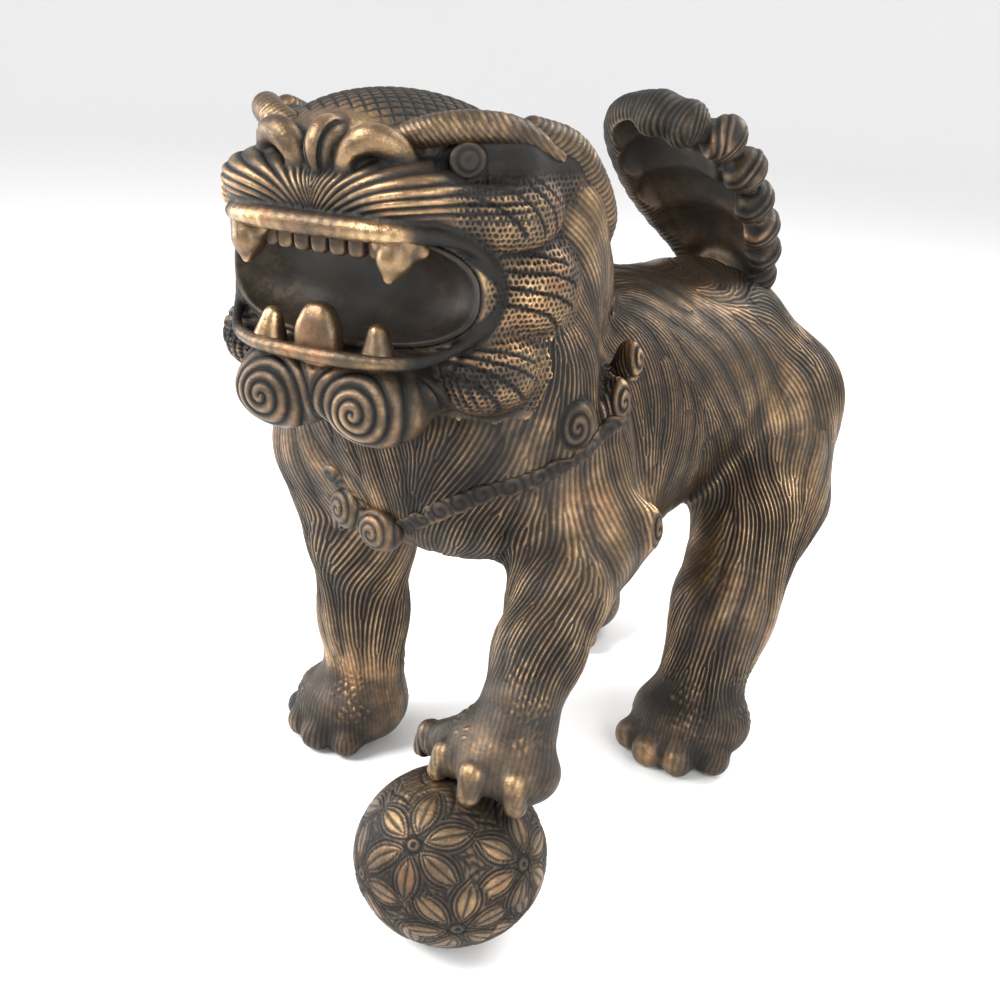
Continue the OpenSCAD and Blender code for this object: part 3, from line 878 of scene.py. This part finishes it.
def head_tone(points):
    """The head's painted shade in the eye sockets, under the brows, in the mouth's corners and edge and under
    the jaw, and where it is made darker or rubbed bright, besides what its shape tells.
    """
    q = in_head(points)
    m = folded(q)
    x, y, z = m.T
    # painted shade: the eye socket and the smooth ground round the eye and under the brow are made darker
    brow_shade = between(z, 205, 222, 1.5) * soft(x, 27, 31) * soft(y, -106, -100)
    socket_shade = np.maximum(1 - soft(SOCKETS(m), 0.5, 5.0), brow_shade)
    # painted shade in the corners of the mouth and along the walls just inside the mouth opening
    mouth_corner_shade = (1 - soft(RIM(m), 0.8, 2.0)) * soft(x, 26, 33)
    mouth_edge_shade = (1 - soft(mouth_distance(q), 1.8, 3.0)) * soft(RIM(m), 0.2, 0.8)
    low_rim = (1 - soft(RIM(m), 0.1, 0.8)) * (1 - soft(z, 168, 174)) * (1 - soft(x, 26, 33))
    # painted shade under the sides of the jaw
    under = between(z, 152, 158, 2) * soft(x, 24, 30) * soft(-y, 90, 100)
    behind = soft(y, -76, -62)
    crown = soft(z, 207, 211) * (1 - soft(x, 24, 30)) * (1 - soft(-y, 100, 108))
    muzzle = between(z, 196, 206, 1) * soft(-y, 100, 108)
    nose = 1 - soft(NOSE(m), 0.2, 1.5)
    chin = soft(-y, 104, 110) * (1 - soft(z, 155, 157))
    cheek = soft(x, 40, 44) * between(z, 145, 204, 3) * soft(-y, 74, 80)
    # painted shade from socket, brow, mouth corners, mouth edge and under the jaw; the lower lip rim and the
    # back of the head are only made darker
    shade_and_darkening = -0.42 * socket_shade - 0.5 * mouth_edge_shade - 0.75 * mouth_corner_shade - 0.16 * low_rim - 0.3 * under - 0.26 * behind
    return shade_and_darkening - 0.14 * crown + 0.10 * muzzle - 0.10 * nose + 0.02 * chin + 0.12 * cheek


def leaf(u, v, long, wide):
    """Signed distance-like value of a pointed petal along u, from 0 to long."""
    t = np.clip(u / long, 0, 1)
    half = wide * np.sin(np.pi * t) ** 0.8
    return np.where((u > 0) & (u < long), np.abs(v) - half, 5.0)


PETALS = 6
ROSETTES = [
    (-0.35, -0.93, 0.05), (0.72, -0.66, -0.22), (0.18, -0.75, 0.63), (-0.88, -0.35, 0.32), (0.93, 0.05, 0.35),
    (0.2, -0.66, -0.72), (-0.75, 0.62, 0.2), (0.35, 0.92, 0.15), (-0.4, 0.45, 0.8), (-0.8, -0.2, -0.56),
    (0.9, 0.1, -0.42), (0.0, 0.75, -0.66),
]


def ball_relief(points, normal):
    """Flowers of double-lined petals, hatched between."""
    d = (points - np.array(BALL_AT)) / np.array(BALL_RADII)
    d = d / length(d)[:, None]
    axes = np.array([unit(axis) for axis in ROSETTES])
    near = (d @ axes.T).argmax(axis=1)
    out = np.zeros(len(points))
    for i, axis in enumerate(axes):
        pick = np.flatnonzero(near == i)
        side = unit(np.cross(axis, (0, 0, 1.0)))
        top = np.cross(side, axis)
        angle_from = np.arccos(np.clip(d[pick] @ axis, -1, 1))
        r = angle_from * BALL_RADII[0]
        turn = np.arctan2(d[pick] @ top, d[pick] @ side) + 0.3 * i
        sector = 2 * np.pi / PETALS
        a = (turn + sector / 2) % sector - sector / 2
        u, v = r * np.cos(a), r * np.sin(a)
        edge = leaf(u - 2.6, v, 15.0, 4.1)
        line = np.exp(-(edge / 0.40) ** 2) + 0.8 * np.exp(-((edge + 1.3) / 0.32) ** 2) \
            + 0.8 * np.exp(-((edge - 1.3) / 0.32) ** 2)
        vein = np.exp(-(v / 0.35) ** 2) * (edge < -2.0)
        veil = leaf(u - 2.6, v, 21.0, 6.6)
        hatch = np.exp(-(veil / 0.4) ** 2) + 0.6 * (0.5 - 0.5 * np.cos(2 * np.pi * (r - 0.5 * v) / 2.1)) ** 4
        bud = np.exp(-((r - 2.3) / 0.45) ** 2) + np.exp(-(r / 0.7) ** 2)
        rise = 0.12 * (1 - soft(edge, -0.6, 0.6))
        between_petals = np.clip(hatch, 0, 1) * (edge > 1.8) * (r > 3)
        out[pick] = -0.6 * np.clip(line, 0, 1) - 0.35 * vein - 0.4 * between_petals - 0.6 * bud + rise
    return out


def curl_relief(p, out):
    """The relief so far, with a spiral in its place on each curl."""
    for middle, axis, wide, tall in ALL_CURLS:
        off = p - middle
        pick = np.flatnonzero(length(off) < tall + 2.5)
        if len(pick) == 0:
            continue
        n = unit(axis)
        s = unit(np.cross(n, (0, 0, 1.0)))
        t = np.cross(s, n)
        u, v = off[pick] @ s, off[pick] @ t
        u = u * tall / wide
        rr = np.sqrt(u * u + v * v)
        inside = 1 - soft(rr, tall - 0.6, tall + 0.8)
        out[pick] = out[pick] * (1 - inside) + 0.7 * spiral(u, v, 3.2) * inside
    return out


def plume_relief(points, normal):
    """Ribbed lobes along the rim, smooth in the scoop, long hair up the back."""
    p = points - PLUME_AT
    m = folded(p)
    x = m[:, 0]
    scoop = np.min([shape.distance(m) for shape in scoops()], axis=0)
    outside = soft(scoop, 0.6, 2.5)
    along = np.zeros(len(p))
    best = np.full(len(p), np.inf)
    run = 0.0
    rim = [np.array(r[:3], dtype=float) for r in PLUME_RIM]
    for a, b in zip(rim, rim[1:]):
        long = math.sqrt((b - a) @ (b - a))
        t = np.clip(((m - a) @ (b - a)) / long ** 2, 0, 1)
        d = length(m - a - t[:, None] * (b - a))
        closer = d < best
        best[closer] = d[closer]
        along[closer] = (run + t * long)[closer]
        run += long
    swirl = ridges(along + 0.9 * best + 0.8 * np.sin(best / 1.7), 1.9) * 0.6
    top = soft(p[:, 2], 203, 209) * (1 - soft(x, 16, 21))
    down = ridges(x + 0.6 * np.sin(p[:, 2] / 3.0), 1.8) * 0.55
    return (swirl * (1 - top) + down * top) * outside


# ---------------------------------------------------------------- from a field to a finished piece

def clay_box(clay, margin=1.5):
    """Corners of a box around a clay's shapes."""
    lows = np.array([shape.middle - shape.reach for shape, _, sign in clay.steps if sign > 0])
    highs = np.array([shape.middle + shape.reach for shape, _, sign in clay.steps if sign > 0])
    low, high = lows.min(axis=0) - margin, highs.max(axis=0) + margin
    if clay.mirrored:
        low[0] = min(low[0], -high[0])
        high[0] = max(high[0], -low[0])
    return low, high


def head_box(low, high):
    """The same box in figure directions, for a clay that is given in the head's frame."""
    corners = np.where(CORNERS, high, low)
    turned_back = (corners - HEAD_PIVOT) @ HEAD_TURN.T + HEAD_AT
    return turned_back.min(axis=0), turned_back.max(axis=0)


def placed(name, data):
    obj = bpy.data.objects.new(name, data)
    bpy.context.scene.collection.objects.link(obj)
    return obj


SWELL_ROUNDS = 8
SWELL_RANGE = (-0.6, 0.22)


def sculpted(name, field, box, step, relief, material, slot, replaces, refine=True, tone=None):
    """A visible piece: the field's skin, its relief along the normals, and what the bronze reads from both.

    A relief gives how far each point moves, or that and a separate shade. A tone is added to the shade only.
    """
    low, high = np.maximum(box[0], FIGURE_LOW), np.minimum(box[1], FIGURE_HIGH)
    points, quads = skin(field, low, high, step * COARSEN)
    normal = quad_normals(points, quads)
    swell = ((points - relaxed(points, quads, SWELL_ROUNDS, 0.7)) * normal).sum(axis=1)
    points = np.concatenate([points, np.clip(swell, *SWELL_RANGE)[:, None]], axis=1)
    if refine:
        points, quads = finer(points, quads)
    points, swell = points[:, :3], points[:, 3]
    normal = quad_normals(points, quads)
    move = relief(points, normal) if relief else np.zeros(len(points))
    move, raised = move if isinstance(move, tuple) else (move, move)
    points = np.clip(points + normal * move[:, None], FIGURE_LOW, FIGURE_HIGH)
    if tone:
        raised = raised + tone(points)
    mesh = bpy.data.meshes.new(name)
    mesh.vertices.add(len(points))
    mesh.vertices.foreach_set("co", to_world(points).astype(np.float32).ravel())
    mesh.loops.add(len(quads) * 4)
    mesh.polygons.add(len(quads))
    mesh.loops.foreach_set("vertex_index", quads.astype(np.int32).ravel())
    mesh.polygons.foreach_set("loop_start", np.arange(0, len(quads) * 4, 4, dtype=np.int32))
    mesh.polygons.foreach_set("use_smooth", np.ones(len(quads), dtype=bool))
    mesh.update(calc_edges=True)
    for key, values in (("raised", raised), ("swell", swell)):
        mesh.attributes.new(key, "FLOAT", "POINT").data.foreach_set("value", values.astype(np.float32))
    obj = placed(name, mesh)
    mesh.materials.append(material)
    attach(obj, "root")
    if replaces:
        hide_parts(*replaces)


# ---------------------------------------------------------------- bronze

def new_material(name):
    material = bpy.data.materials.new(name)
    material.use_nodes = True
    tree = material.node_tree
    return material, tree, tree.nodes["Principled BSDF"]


def link(tree, a, b):
    tree.links.new(a, b)


def maths(tree, kind, a, b=None, c=None):
    node = tree.nodes.new("ShaderNodeMath")
    node.operation = kind
    for i, value in enumerate((a, b, c)):
        if value is None:
            continue
        if isinstance(value, (int, float)):
            node.inputs[i].default_value = value
        else:
            link(tree, value, node.inputs[i])
    return node.outputs[0]


def noise(tree, scale, detail=4.0, rough=0.6, stretch=(1, 1, 1)):
    where = tree.nodes.new("ShaderNodeTexCoord")
    mapping = tree.nodes.new("ShaderNodeMapping")
    mapping.inputs["Scale"].default_value = stretch
    link(tree, where.outputs["Object"], mapping.inputs["Vector"])
    node = tree.nodes.new("ShaderNodeTexNoise")
    node.inputs["Scale"].default_value = scale
    node.inputs["Detail"].default_value = detail
    node.inputs["Roughness"].default_value = rough
    link(tree, mapping.outputs[0], node.inputs["Vector"])
    return node.outputs[0]


def attribute(tree, key):
    node = tree.nodes.new("ShaderNodeAttribute")
    node.attribute_name = key
    return node.outputs["Fac"]


def ramp(tree, fac, stops):
    node = tree.nodes.new("ShaderNodeValToRGB")
    elements = node.color_ramp.elements
    for i, (at, value) in enumerate(stops):
        element = elements[i] if i < 2 else elements.new(at)
        element.position = at
        element.color = (*value, 1) if isinstance(value, tuple) else (value, value, value, 1)
    link(tree, fac, node.inputs[0])
    return node.outputs[0]


def drifted(tree, level, fac, size):
    """The level, moved up or down by a noise."""
    return maths(tree, "MULTIPLY_ADD", maths(tree, "SUBTRACT", fac, 0.5), size, level)


def tinted(tree, colour, tint, amount):
    node = tree.nodes.new("ShaderNodeMixRGB")
    link(tree, amount, node.inputs[0])
    link(tree, colour, node.inputs[1])
    node.inputs[2].default_value = (*tint, 1)
    return node.outputs[0]


def bumped(tree, shader, height, strength, distance):
    node = tree.nodes.new("ShaderNodeBump")
    node.inputs["Strength"].default_value = strength
    node.inputs["Distance"].default_value = distance
    link(tree, height, node.inputs["Height"])
    link(tree, node.outputs[0], shader.inputs["Normal"])


UMBER = (0.008, 0.007, 0.006)
SOOT = (0.028, 0.022, 0.017)
BROWN = (0.092, 0.065, 0.043)
BRONZE = (0.26, 0.170, 0.090)
GOLD = (0.62, 0.44, 0.235)
COPPER = (0.28, 0.115, 0.06)
SLATE = (0.060, 0.059, 0.058)


def bronze(name, wear=0.0, raised_gain=0.85, swell_gain=1.1, slate=0.30, copper=0.30, smooth=False):
    """Dark patina in the hollows, rubbed through to gold on what stands out."""
    material, tree, shader = new_material(name)
    raised, swell = attribute(tree, "raised"), attribute(tree, "swell")
    clouds = noise(tree, 38, 5, 0.6)
    grain = noise(tree, 420, 4, 0.7)
    patches = noise(tree, 85, 3, 0.55)
    level = maths(tree, "MULTIPLY_ADD", raised, raised_gain, 0.50 + wear)
    level = maths(tree, "MULTIPLY_ADD", swell, swell_gain, level)
    for cloud, size in ((clouds, 0.85), (grain, 0.35), (patches, 0.30)):
        level = drifted(tree, level, cloud, size)
    colour = ramp(tree, level, [(0.12, UMBER), (0.95, GOLD), (0.34, SOOT), (0.54, BROWN), (0.74, BRONZE)])
    cold = ramp(tree, noise(tree, 24, 3, 0.5, (1.0, 1.0, 1.4)), [(0.48, 0.0), (0.66, 1.0)])
    cold = maths(tree, "MULTIPLY", cold, ramp(tree, level, [(0.35, 1.0), (0.66, 0.0)]))
    colour = tinted(tree, colour, SLATE, maths(tree, "MULTIPLY", cold, slate))
    warm = ramp(tree, noise(tree, 61, 4, 0.6, (1.3, 1.0, 0.8)), [(0.52, 0.0), (0.70, 1.0)])
    warm = maths(tree, "MULTIPLY", warm, ramp(tree, level, [(0.45, 0.0), (0.62, 1.0)]))
    colour = tinted(tree, colour, COPPER, maths(tree, "MULTIPLY", warm, copper))
    link(tree, colour, shader.inputs["Base Color"])
    link(tree, ramp(tree, level, [(0.20, 0.35), (0.62, 0.90)]), shader.inputs["Metallic"])
    rough = drifted(tree, ramp(tree, level, [(0.25, 0.58), (0.80, 0.26)]), grain, 0.25)
    link(tree, rough, shader.inputs["Roughness"])
    scratches = noise(tree, 300, 3, 0.6, (0.25, 1.6, 3.0))
    height = maths(tree, "MULTIPLY_ADD", scratches, 0.6, noise(tree, 1500, 3, 0.7))
    bumped(tree, shader, height, 0.25 if smooth else 0.45, 0.0004)
    shader.inputs["Specular IOR Level"].default_value = 0.28
    return material


def machined(name, colour, roughness):
    """Turned metal of the hidden fixings."""
    material, tree, shader = new_material(name)
    turning = noise(tree, 900, 3, 0.6, (1, 1, 8))
    tint = tuple(c * 0.55 for c in colour)
    stained = ramp(tree, noise(tree, 160, 4, 0.6), [(0.35, tint), (0.65, colour)])
    link(tree, stained, shader.inputs["Base Color"])
    link(tree, maths(tree, "MULTIPLY_ADD", turning, 0.3, roughness), shader.inputs["Roughness"])
    shader.inputs["Metallic"].default_value = 1.0
    bumped(tree, shader, turning, 0.3, 0.0002)
    return material


# ---------------------------------------------------------------- the pieces

BODY = bronze("bronze body", wear=-0.10, raised_gain=1.0, slate=0.22)
HEAD = bronze("bronze head", wear=0.03, raised_gain=1.0, slate=0.15, copper=0.45)
TEETH = bronze("bronze teeth", wear=0.14, slate=0.25, copper=0.45, smooth=True)
MOUTH_SKIN = bronze("bronze mouth", wear=-0.16, slate=1.0, copper=0.0, smooth=True, swell_gain=0.0)
EYE_SKIN = bronze("bronze eyes", wear=-0.16)
BALL_SKIN = bronze("bronze ball", wear=0.0, slate=0.25, copper=0.5)
BOSS = bronze("bronze boss", wear=-0.02, copper=0.8)
PLUG = bronze("bronze plug", wear=-0.05)
STEEL = machined("steel pins", (0.42, 0.41, 0.40), 0.35)
BRASS = machined("brass nuts", (0.70, 0.52, 0.26), 0.30)

HAIR_DEPTH = 0.52
HAIR_PITCH = 1.65
LOCK_DEPTH = 0.40
LOCK_PITCH = 10.5
BODY_STEP = 0.70
HEAD_STEP = 0.70
SMALL_STEP = 0.45
COARSE_STEP = 2.4


def coarse_skin():
    """A coarse skin of the whole figure for the hair to be combed on."""
    points, quads = skin(figure, FIGURE_LOW, FIGURE_HIGH, COARSE_STEP)
    return points, quads, quad_normals(points, quads)


SKIN = coarse_skin()
FINE_HAIR = Strands(*SKIN, HAIR_PITCH, SEED + 1)
LOCK_HAIR = Strands(*SKIN, LOCK_PITCH, SEED + 2)


def combed(points):
    """Fine strands riding on broad locks."""
    lock = LOCK_HAIR.phase(points)
    fine = FINE_HAIR.phase(points)
    strand = (0.5 - 0.5 * np.cos(fine)) ** 0.9 - 1
    depth = 0.62 + 0.38 * np.sin(points @ np.array([0.06, 0.05, 0.08]) + 2.0)
    depth = depth * (1 - 0.45 * soft(points[:, 2], 150, 162) * (points[:, 1] > -10))
    groove = np.exp(-((1 + np.cos(lock)) / 0.08) ** 2)
    swell = LOCK_DEPTH * (0.5 * np.cos(lock) - 0.25 - 0.5 * groove)
    fine = HAIR_DEPTH * strand * depth
    return fine + swell, 1.5 * fine + 0.3 * swell + 0.27


PAW_TOP = np.array([60, -108, 56])


def smooth_paws(p):
    """1 where the hair is, 0 on toes and feet; the border wanders."""
    wave = 3.0 * np.sin(p[:, 0] / 4.1) * np.sin(p[:, 1] / 5.3)
    feet = soft(p[:, 2] + wave, 22, 34)
    paw = soft(length((p - PAW_TOP) / np.array([1.2, 1.1, 1.0])) + wave, 17, 25)
    return feet * paw


def body_relief(points, normal):
    hairy = 0.3 + 0.7 * smooth_paws(points)
    turn = np.arctan2(normal[:, 1], normal[:, 0])
    z = points[:, 2]
    beads = -0.4 * pits(turn * 14.0 + np.sin(z / 3.0), z + np.sin(turn * 5.0), 2.5, 0.85)
    wrist = length(points - PAW_TOP + np.array([2, -6, -12]))
    slow = np.sin(points @ np.array([0.21, 0.17, 0.05]) + 1.3)
    quick = np.sin(points @ np.array([-0.5, 0.3, 0.4]))
    patch = soft(slow + 0.6 * quick, 0.0, 0.8)
    ankle = np.maximum(between(z, 14, 34, 5) * (z < 52), between(wrist, 0, 16, 3)) * patch
    move, shade = combed(points)
    return (curl_relief(points, move * hairy + beads * ankle),
            curl_relief(points, shade * hairy + 0.45 * beads * ankle))


def body_tone(points):
    feet = 1 - soft(points[:, 2], 18, 34)
    back = soft(points[:, 2], 140, 160) * (points[:, 1] > -20)
    paw = 1 - soft(length(points - PAW_TOP), 18, 26)
    claws = paw * soft(-points[:, 1], 110, 114)
    chest = soft(-points[:, 1], 62, 74) * soft(points[:, 2], 90, 104)
    return -0.05 * feet - 0.06 * back - 0.07 * paw + 0.08 * claws - 0.07 * chest


def head_piece_relief(points, normal):
    q = in_head(points)
    back = soft(q[:, 1], -72, -62)
    face = head_relief(q)
    return tuple(face * (1 - back) + way * back for way in combed(points))


def ribs(pitch, depth, way):
    way = np.array(way, dtype=float)
    return lambda points, normal: depth * ridges(in_head(points) @ way, pitch)


def even(shade):
    """A tone that is the same all over."""
    return lambda points: np.full(len(points), shade)


def collar_relief(points, normal):
    """Cloud scrolls one after the other along the band."""
    m = folded(points)
    centres = smooth_path(COLLAR, np.zeros(len(COLLAR)), 2)[:, :3]
    off = m[:, None, :] - centres[None]
    near = (off ** 2).sum(axis=2).argmin(axis=1)
    off = off[np.arange(len(m)), near]
    outward = np.stack([normal[:, 0] * np.sign(points[:, 0]), normal[:, 1], normal[:, 2]], axis=1)
    u = (off * np.cross(outward, (0, 0, 1.0))).sum(axis=1)
    return 0.45 * spiral(u, off[:, 2], 2.6)


for name in ("torso", "mane", *LEGS):
    node = name + ("_leg" if name in LEGS else "_casting")
    sculpted(name + "_bronze", body_piece(name), clay_box(MASSES[name], 6), BODY_STEP, body_relief, BODY,
             "bronze_body", [node], tone=body_tone)
for name, node in (("head", "skull_casting"), ("jaw", "lower_jaw")):
    sculpted(name + "_bronze", body_piece(name), head_box(*clay_box(MASSES[name], 6)), HEAD_STEP,
             head_piece_relief, HEAD, "bronze_head", [node], tone=head_tone)
MOUTH_ROOM = (46, 26, 20)
sculpted("mouth_lining", lining_piece, head_box(MOUTH.middle - MOUTH_ROOM, MOUTH.middle + MOUTH_ROOM),
         SMALL_STEP, None, MOUTH_SKIN, "bronze_mouth", ["mouth_plate"], refine=False)


def in_head_field(clay):
    return lambda p: clay(in_head(p))


def one_side(clay, side):
    """The half of a mirrored clay on one side of the head."""
    def field(p):
        q = in_head(p)
        return np.maximum(clay(q), -side * q[:, 0])
    return field


# even tones for the teeth; the upper incisors' deeper -0.30 is painted shade for their place recessed under
# the lip
for name, clay, node, shade in (("fangs", FANGS, "upper_fangs", -0.12),
                                ("upper_teeth", TOP_TEETH, "upper_incisors", -0.30),
                                ("lower_teeth_bronze", LOW_TEETH, "lower_teeth", -0.12)):
    sculpted(name, in_head_field(clay), head_box(*clay_box(clay)), SMALL_STEP, None, TEETH, "bronze_teeth",
             [node], refine=False, tone=even(shade))
EYE_CLAY = Clay(mirrored=True).add(EYE)
for side, label in ((1, "left"), (-1, "right")):
    for name, clay, material, slot, relief in (
            ("eye", EYE_CLAY, EYE_SKIN, "bronze_eyes", eye_relief),
            ("brow", BROW, HEAD, "bronze_head", ribs(1.45, 0.22, (0.75 * side, 0.35, 0.6))),
            ("ear", EAR, HEAD, "bronze_head", ribs(2.2, 0.32, (0.1 * side, 0.75, -0.9)))):
        low, high = clay_box(clay)
        low[0], high[0] = (2, high[0]) if side > 0 else (low[0], -2)
        node = label + "_" + name
        sculpted(node + "_bronze", one_side(clay, side), head_box(low, high), SMALL_STEP, relief, material,
                 slot, [node], refine=False)

BALL_CLAY = Clay().add(egg(BALL_AT, BALL_RADII))
sculpted("ball_bronze", BALL_CLAY, clay_box(BALL_CLAY), 0.5, ball_relief, BALL_SKIN, "bronze_ball",
         ["brocade_ball"], refine=False)
RIVET = Clay().add(limb((56, -110, 44), (58, -107, 56), 2.6, 3.2))
sculpted("ball_rivet_bronze", RIVET, clay_box(RIVET), SMALL_STEP, None, STEEL, "pin_steel", ["ball_rivet"],
         refine=False)
sculpted("plume_bronze", plume, tuple(c + PLUME_AT for c in clay_box(PLUME_CLAY)), 0.55, plume_relief, BODY,
         "bronze_body", ["tail_plume"], refine=False)
COLLAR_BOX = (np.array([-60, -104, 90]), np.array([60, 0, 178]))
sculpted("collar_bronze", collar_piece, COLLAR_BOX, 0.6, collar_relief, BODY, "bronze_body", ["collar_band"],
         refine=False, tone=even(-0.06))
BELL = Clay().add(egg((-16, -91, 102.5), (8, 5, 7), (0, 0, -10)))
BELL.add(egg((-2, -91.5, 99.5), (8.5, 5, 6.8)), 2)


def bell_relief(points, normal):
    left = 0.55 * spiral(points[:, 0] + 17, points[:, 2] - 102.5, 2.6)
    right = 0.55 * spiral(points[:, 0] + 2, points[:, 2] - 99, 2.6)
    return np.where(points[:, 0] < -9, left, right)


sculpted("bell_bronze", BELL, clay_box(BELL), SMALL_STEP, bell_relief, BOSS, "bronze_head", ["collar_bell"],
         refine=False)
PLUG_CLAY = Clay().add(cushion((0, 6, 71.2), (10, 10, 4), power=6))
sculpted("plug_bronze", PLUG_CLAY, clay_box(PLUG_CLAY, 3), SMALL_STEP, None, PLUG, "bronze_plug",
         ["belly_core_plug"], refine=False)

for node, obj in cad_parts.items():
    metal = BRASS if "nut" in node else STEEL
    if any(word in node for word in ("nut", "stud", "dowel", "pin")):
        obj.data.materials.clear()
        obj.data.materials.append(metal)


# ---------------------------------------------------------------- camera, light and floor

CAMERA_AT = (255.2, -343.9, 241.2)
AZIMUTH, PITCH, ROLL = 40.0, 20.0, 3.0
SENSOR = 36.0
LENS = 46.8


def camera():
    a, t, r = (math.radians(v) for v in (AZIMUTH, PITCH, ROLL))
    right = Vector((math.cos(a), math.sin(a), 0))
    forward = Vector((-math.sin(a) * math.cos(t), math.cos(a) * math.cos(t), -math.sin(t)))
    up = right.cross(forward)
    x = right * math.cos(r) + up * math.sin(r)
    y = up * math.cos(r) - right * math.sin(r)
    data = bpy.data.cameras.new("camera")
    data.sensor_width = SENSOR
    data.lens = LENS
    data.clip_start = 0.01
    obj = placed("camera", data)
    m = Matrix((x, y, -forward)).transposed().to_4x4()
    m.translation = Vector(to_world(CAMERA_AT))
    obj.matrix_world = m
    bpy.context.scene.camera = obj


def area_light(name, at, target, size, power):
    data = bpy.data.lights.new(name, "AREA")
    data.size = size
    data.energy = power
    obj = placed(name, data)
    obj.location = Vector(to_world(at))
    aim = Vector(to_world(target)) - obj.location
    obj.rotation_euler = aim.to_track_quat("-Z", "Y").to_euler()


camera()
bpy.context.scene.view_settings.view_transform = "Standard"
area_light("key", (-350, -800, 900), (0, 0, 110), 0.5, 17)
area_light("side", (750, -350, 420), (0, 0, 110), 0.45, 5)
area_light("back", (300, 700, 800), (0, 0, 120), 0.6, 9)
area_light("glint", (-600, -350, 260), (0, -60, 130), 0.25, 3)
world = bpy.data.worlds.new("studio")
bpy.context.scene.world = world
world.use_nodes = True
world.node_tree.nodes["Background"].inputs["Color"].default_value = (1, 1, 1, 1)
world.node_tree.nodes["Background"].inputs["Strength"].default_value = 0.86


FLOOR_WHITE = (0.93, 0.93, 0.93)


def studio_sweep():
    """One round floor that curves up into the backdrop, so no edge shows."""
    flat, bend, spokes, arcs = 2.4, 1.6, 128, 24
    profile = [(0.0, 0.0), (flat * 0.5, 0.0)]
    for a in np.linspace(0, math.pi / 2, arcs):
        profile.append((flat + bend * math.sin(a), bend - bend * math.cos(a)))
    base = CAD_BOX[0][2]
    turns = np.arange(spokes) * 2 * math.pi / spokes
    rows = [[(r * math.cos(t), r * math.sin(t), base + z) for t in turns] for r, z in profile[1:]]
    verts = [(0, 0, base)] + [v for row in rows for v in row]
    faces = [(0, 1 + k, 1 + (k + 1) % spokes) for k in range(spokes)]
    for i in range(len(rows) - 1):
        for k in range(spokes):
            a, b = 1 + i * spokes + k, 1 + i * spokes + (k + 1) % spokes
            faces.append((a, a + spokes, b + spokes, b))
    mesh = bpy.data.meshes.new("floor")
    mesh.from_pydata(verts, [], faces)
    mesh.polygons.foreach_set("use_smooth", np.ones(len(faces), dtype=bool))
    material, _, shader = new_material("floor")
    shader.inputs["Base Color"].default_value = (*FLOOR_WHITE, 1)
    mesh.materials.append(material)
    return placed("floor", mesh)


floor = studio_sweep()
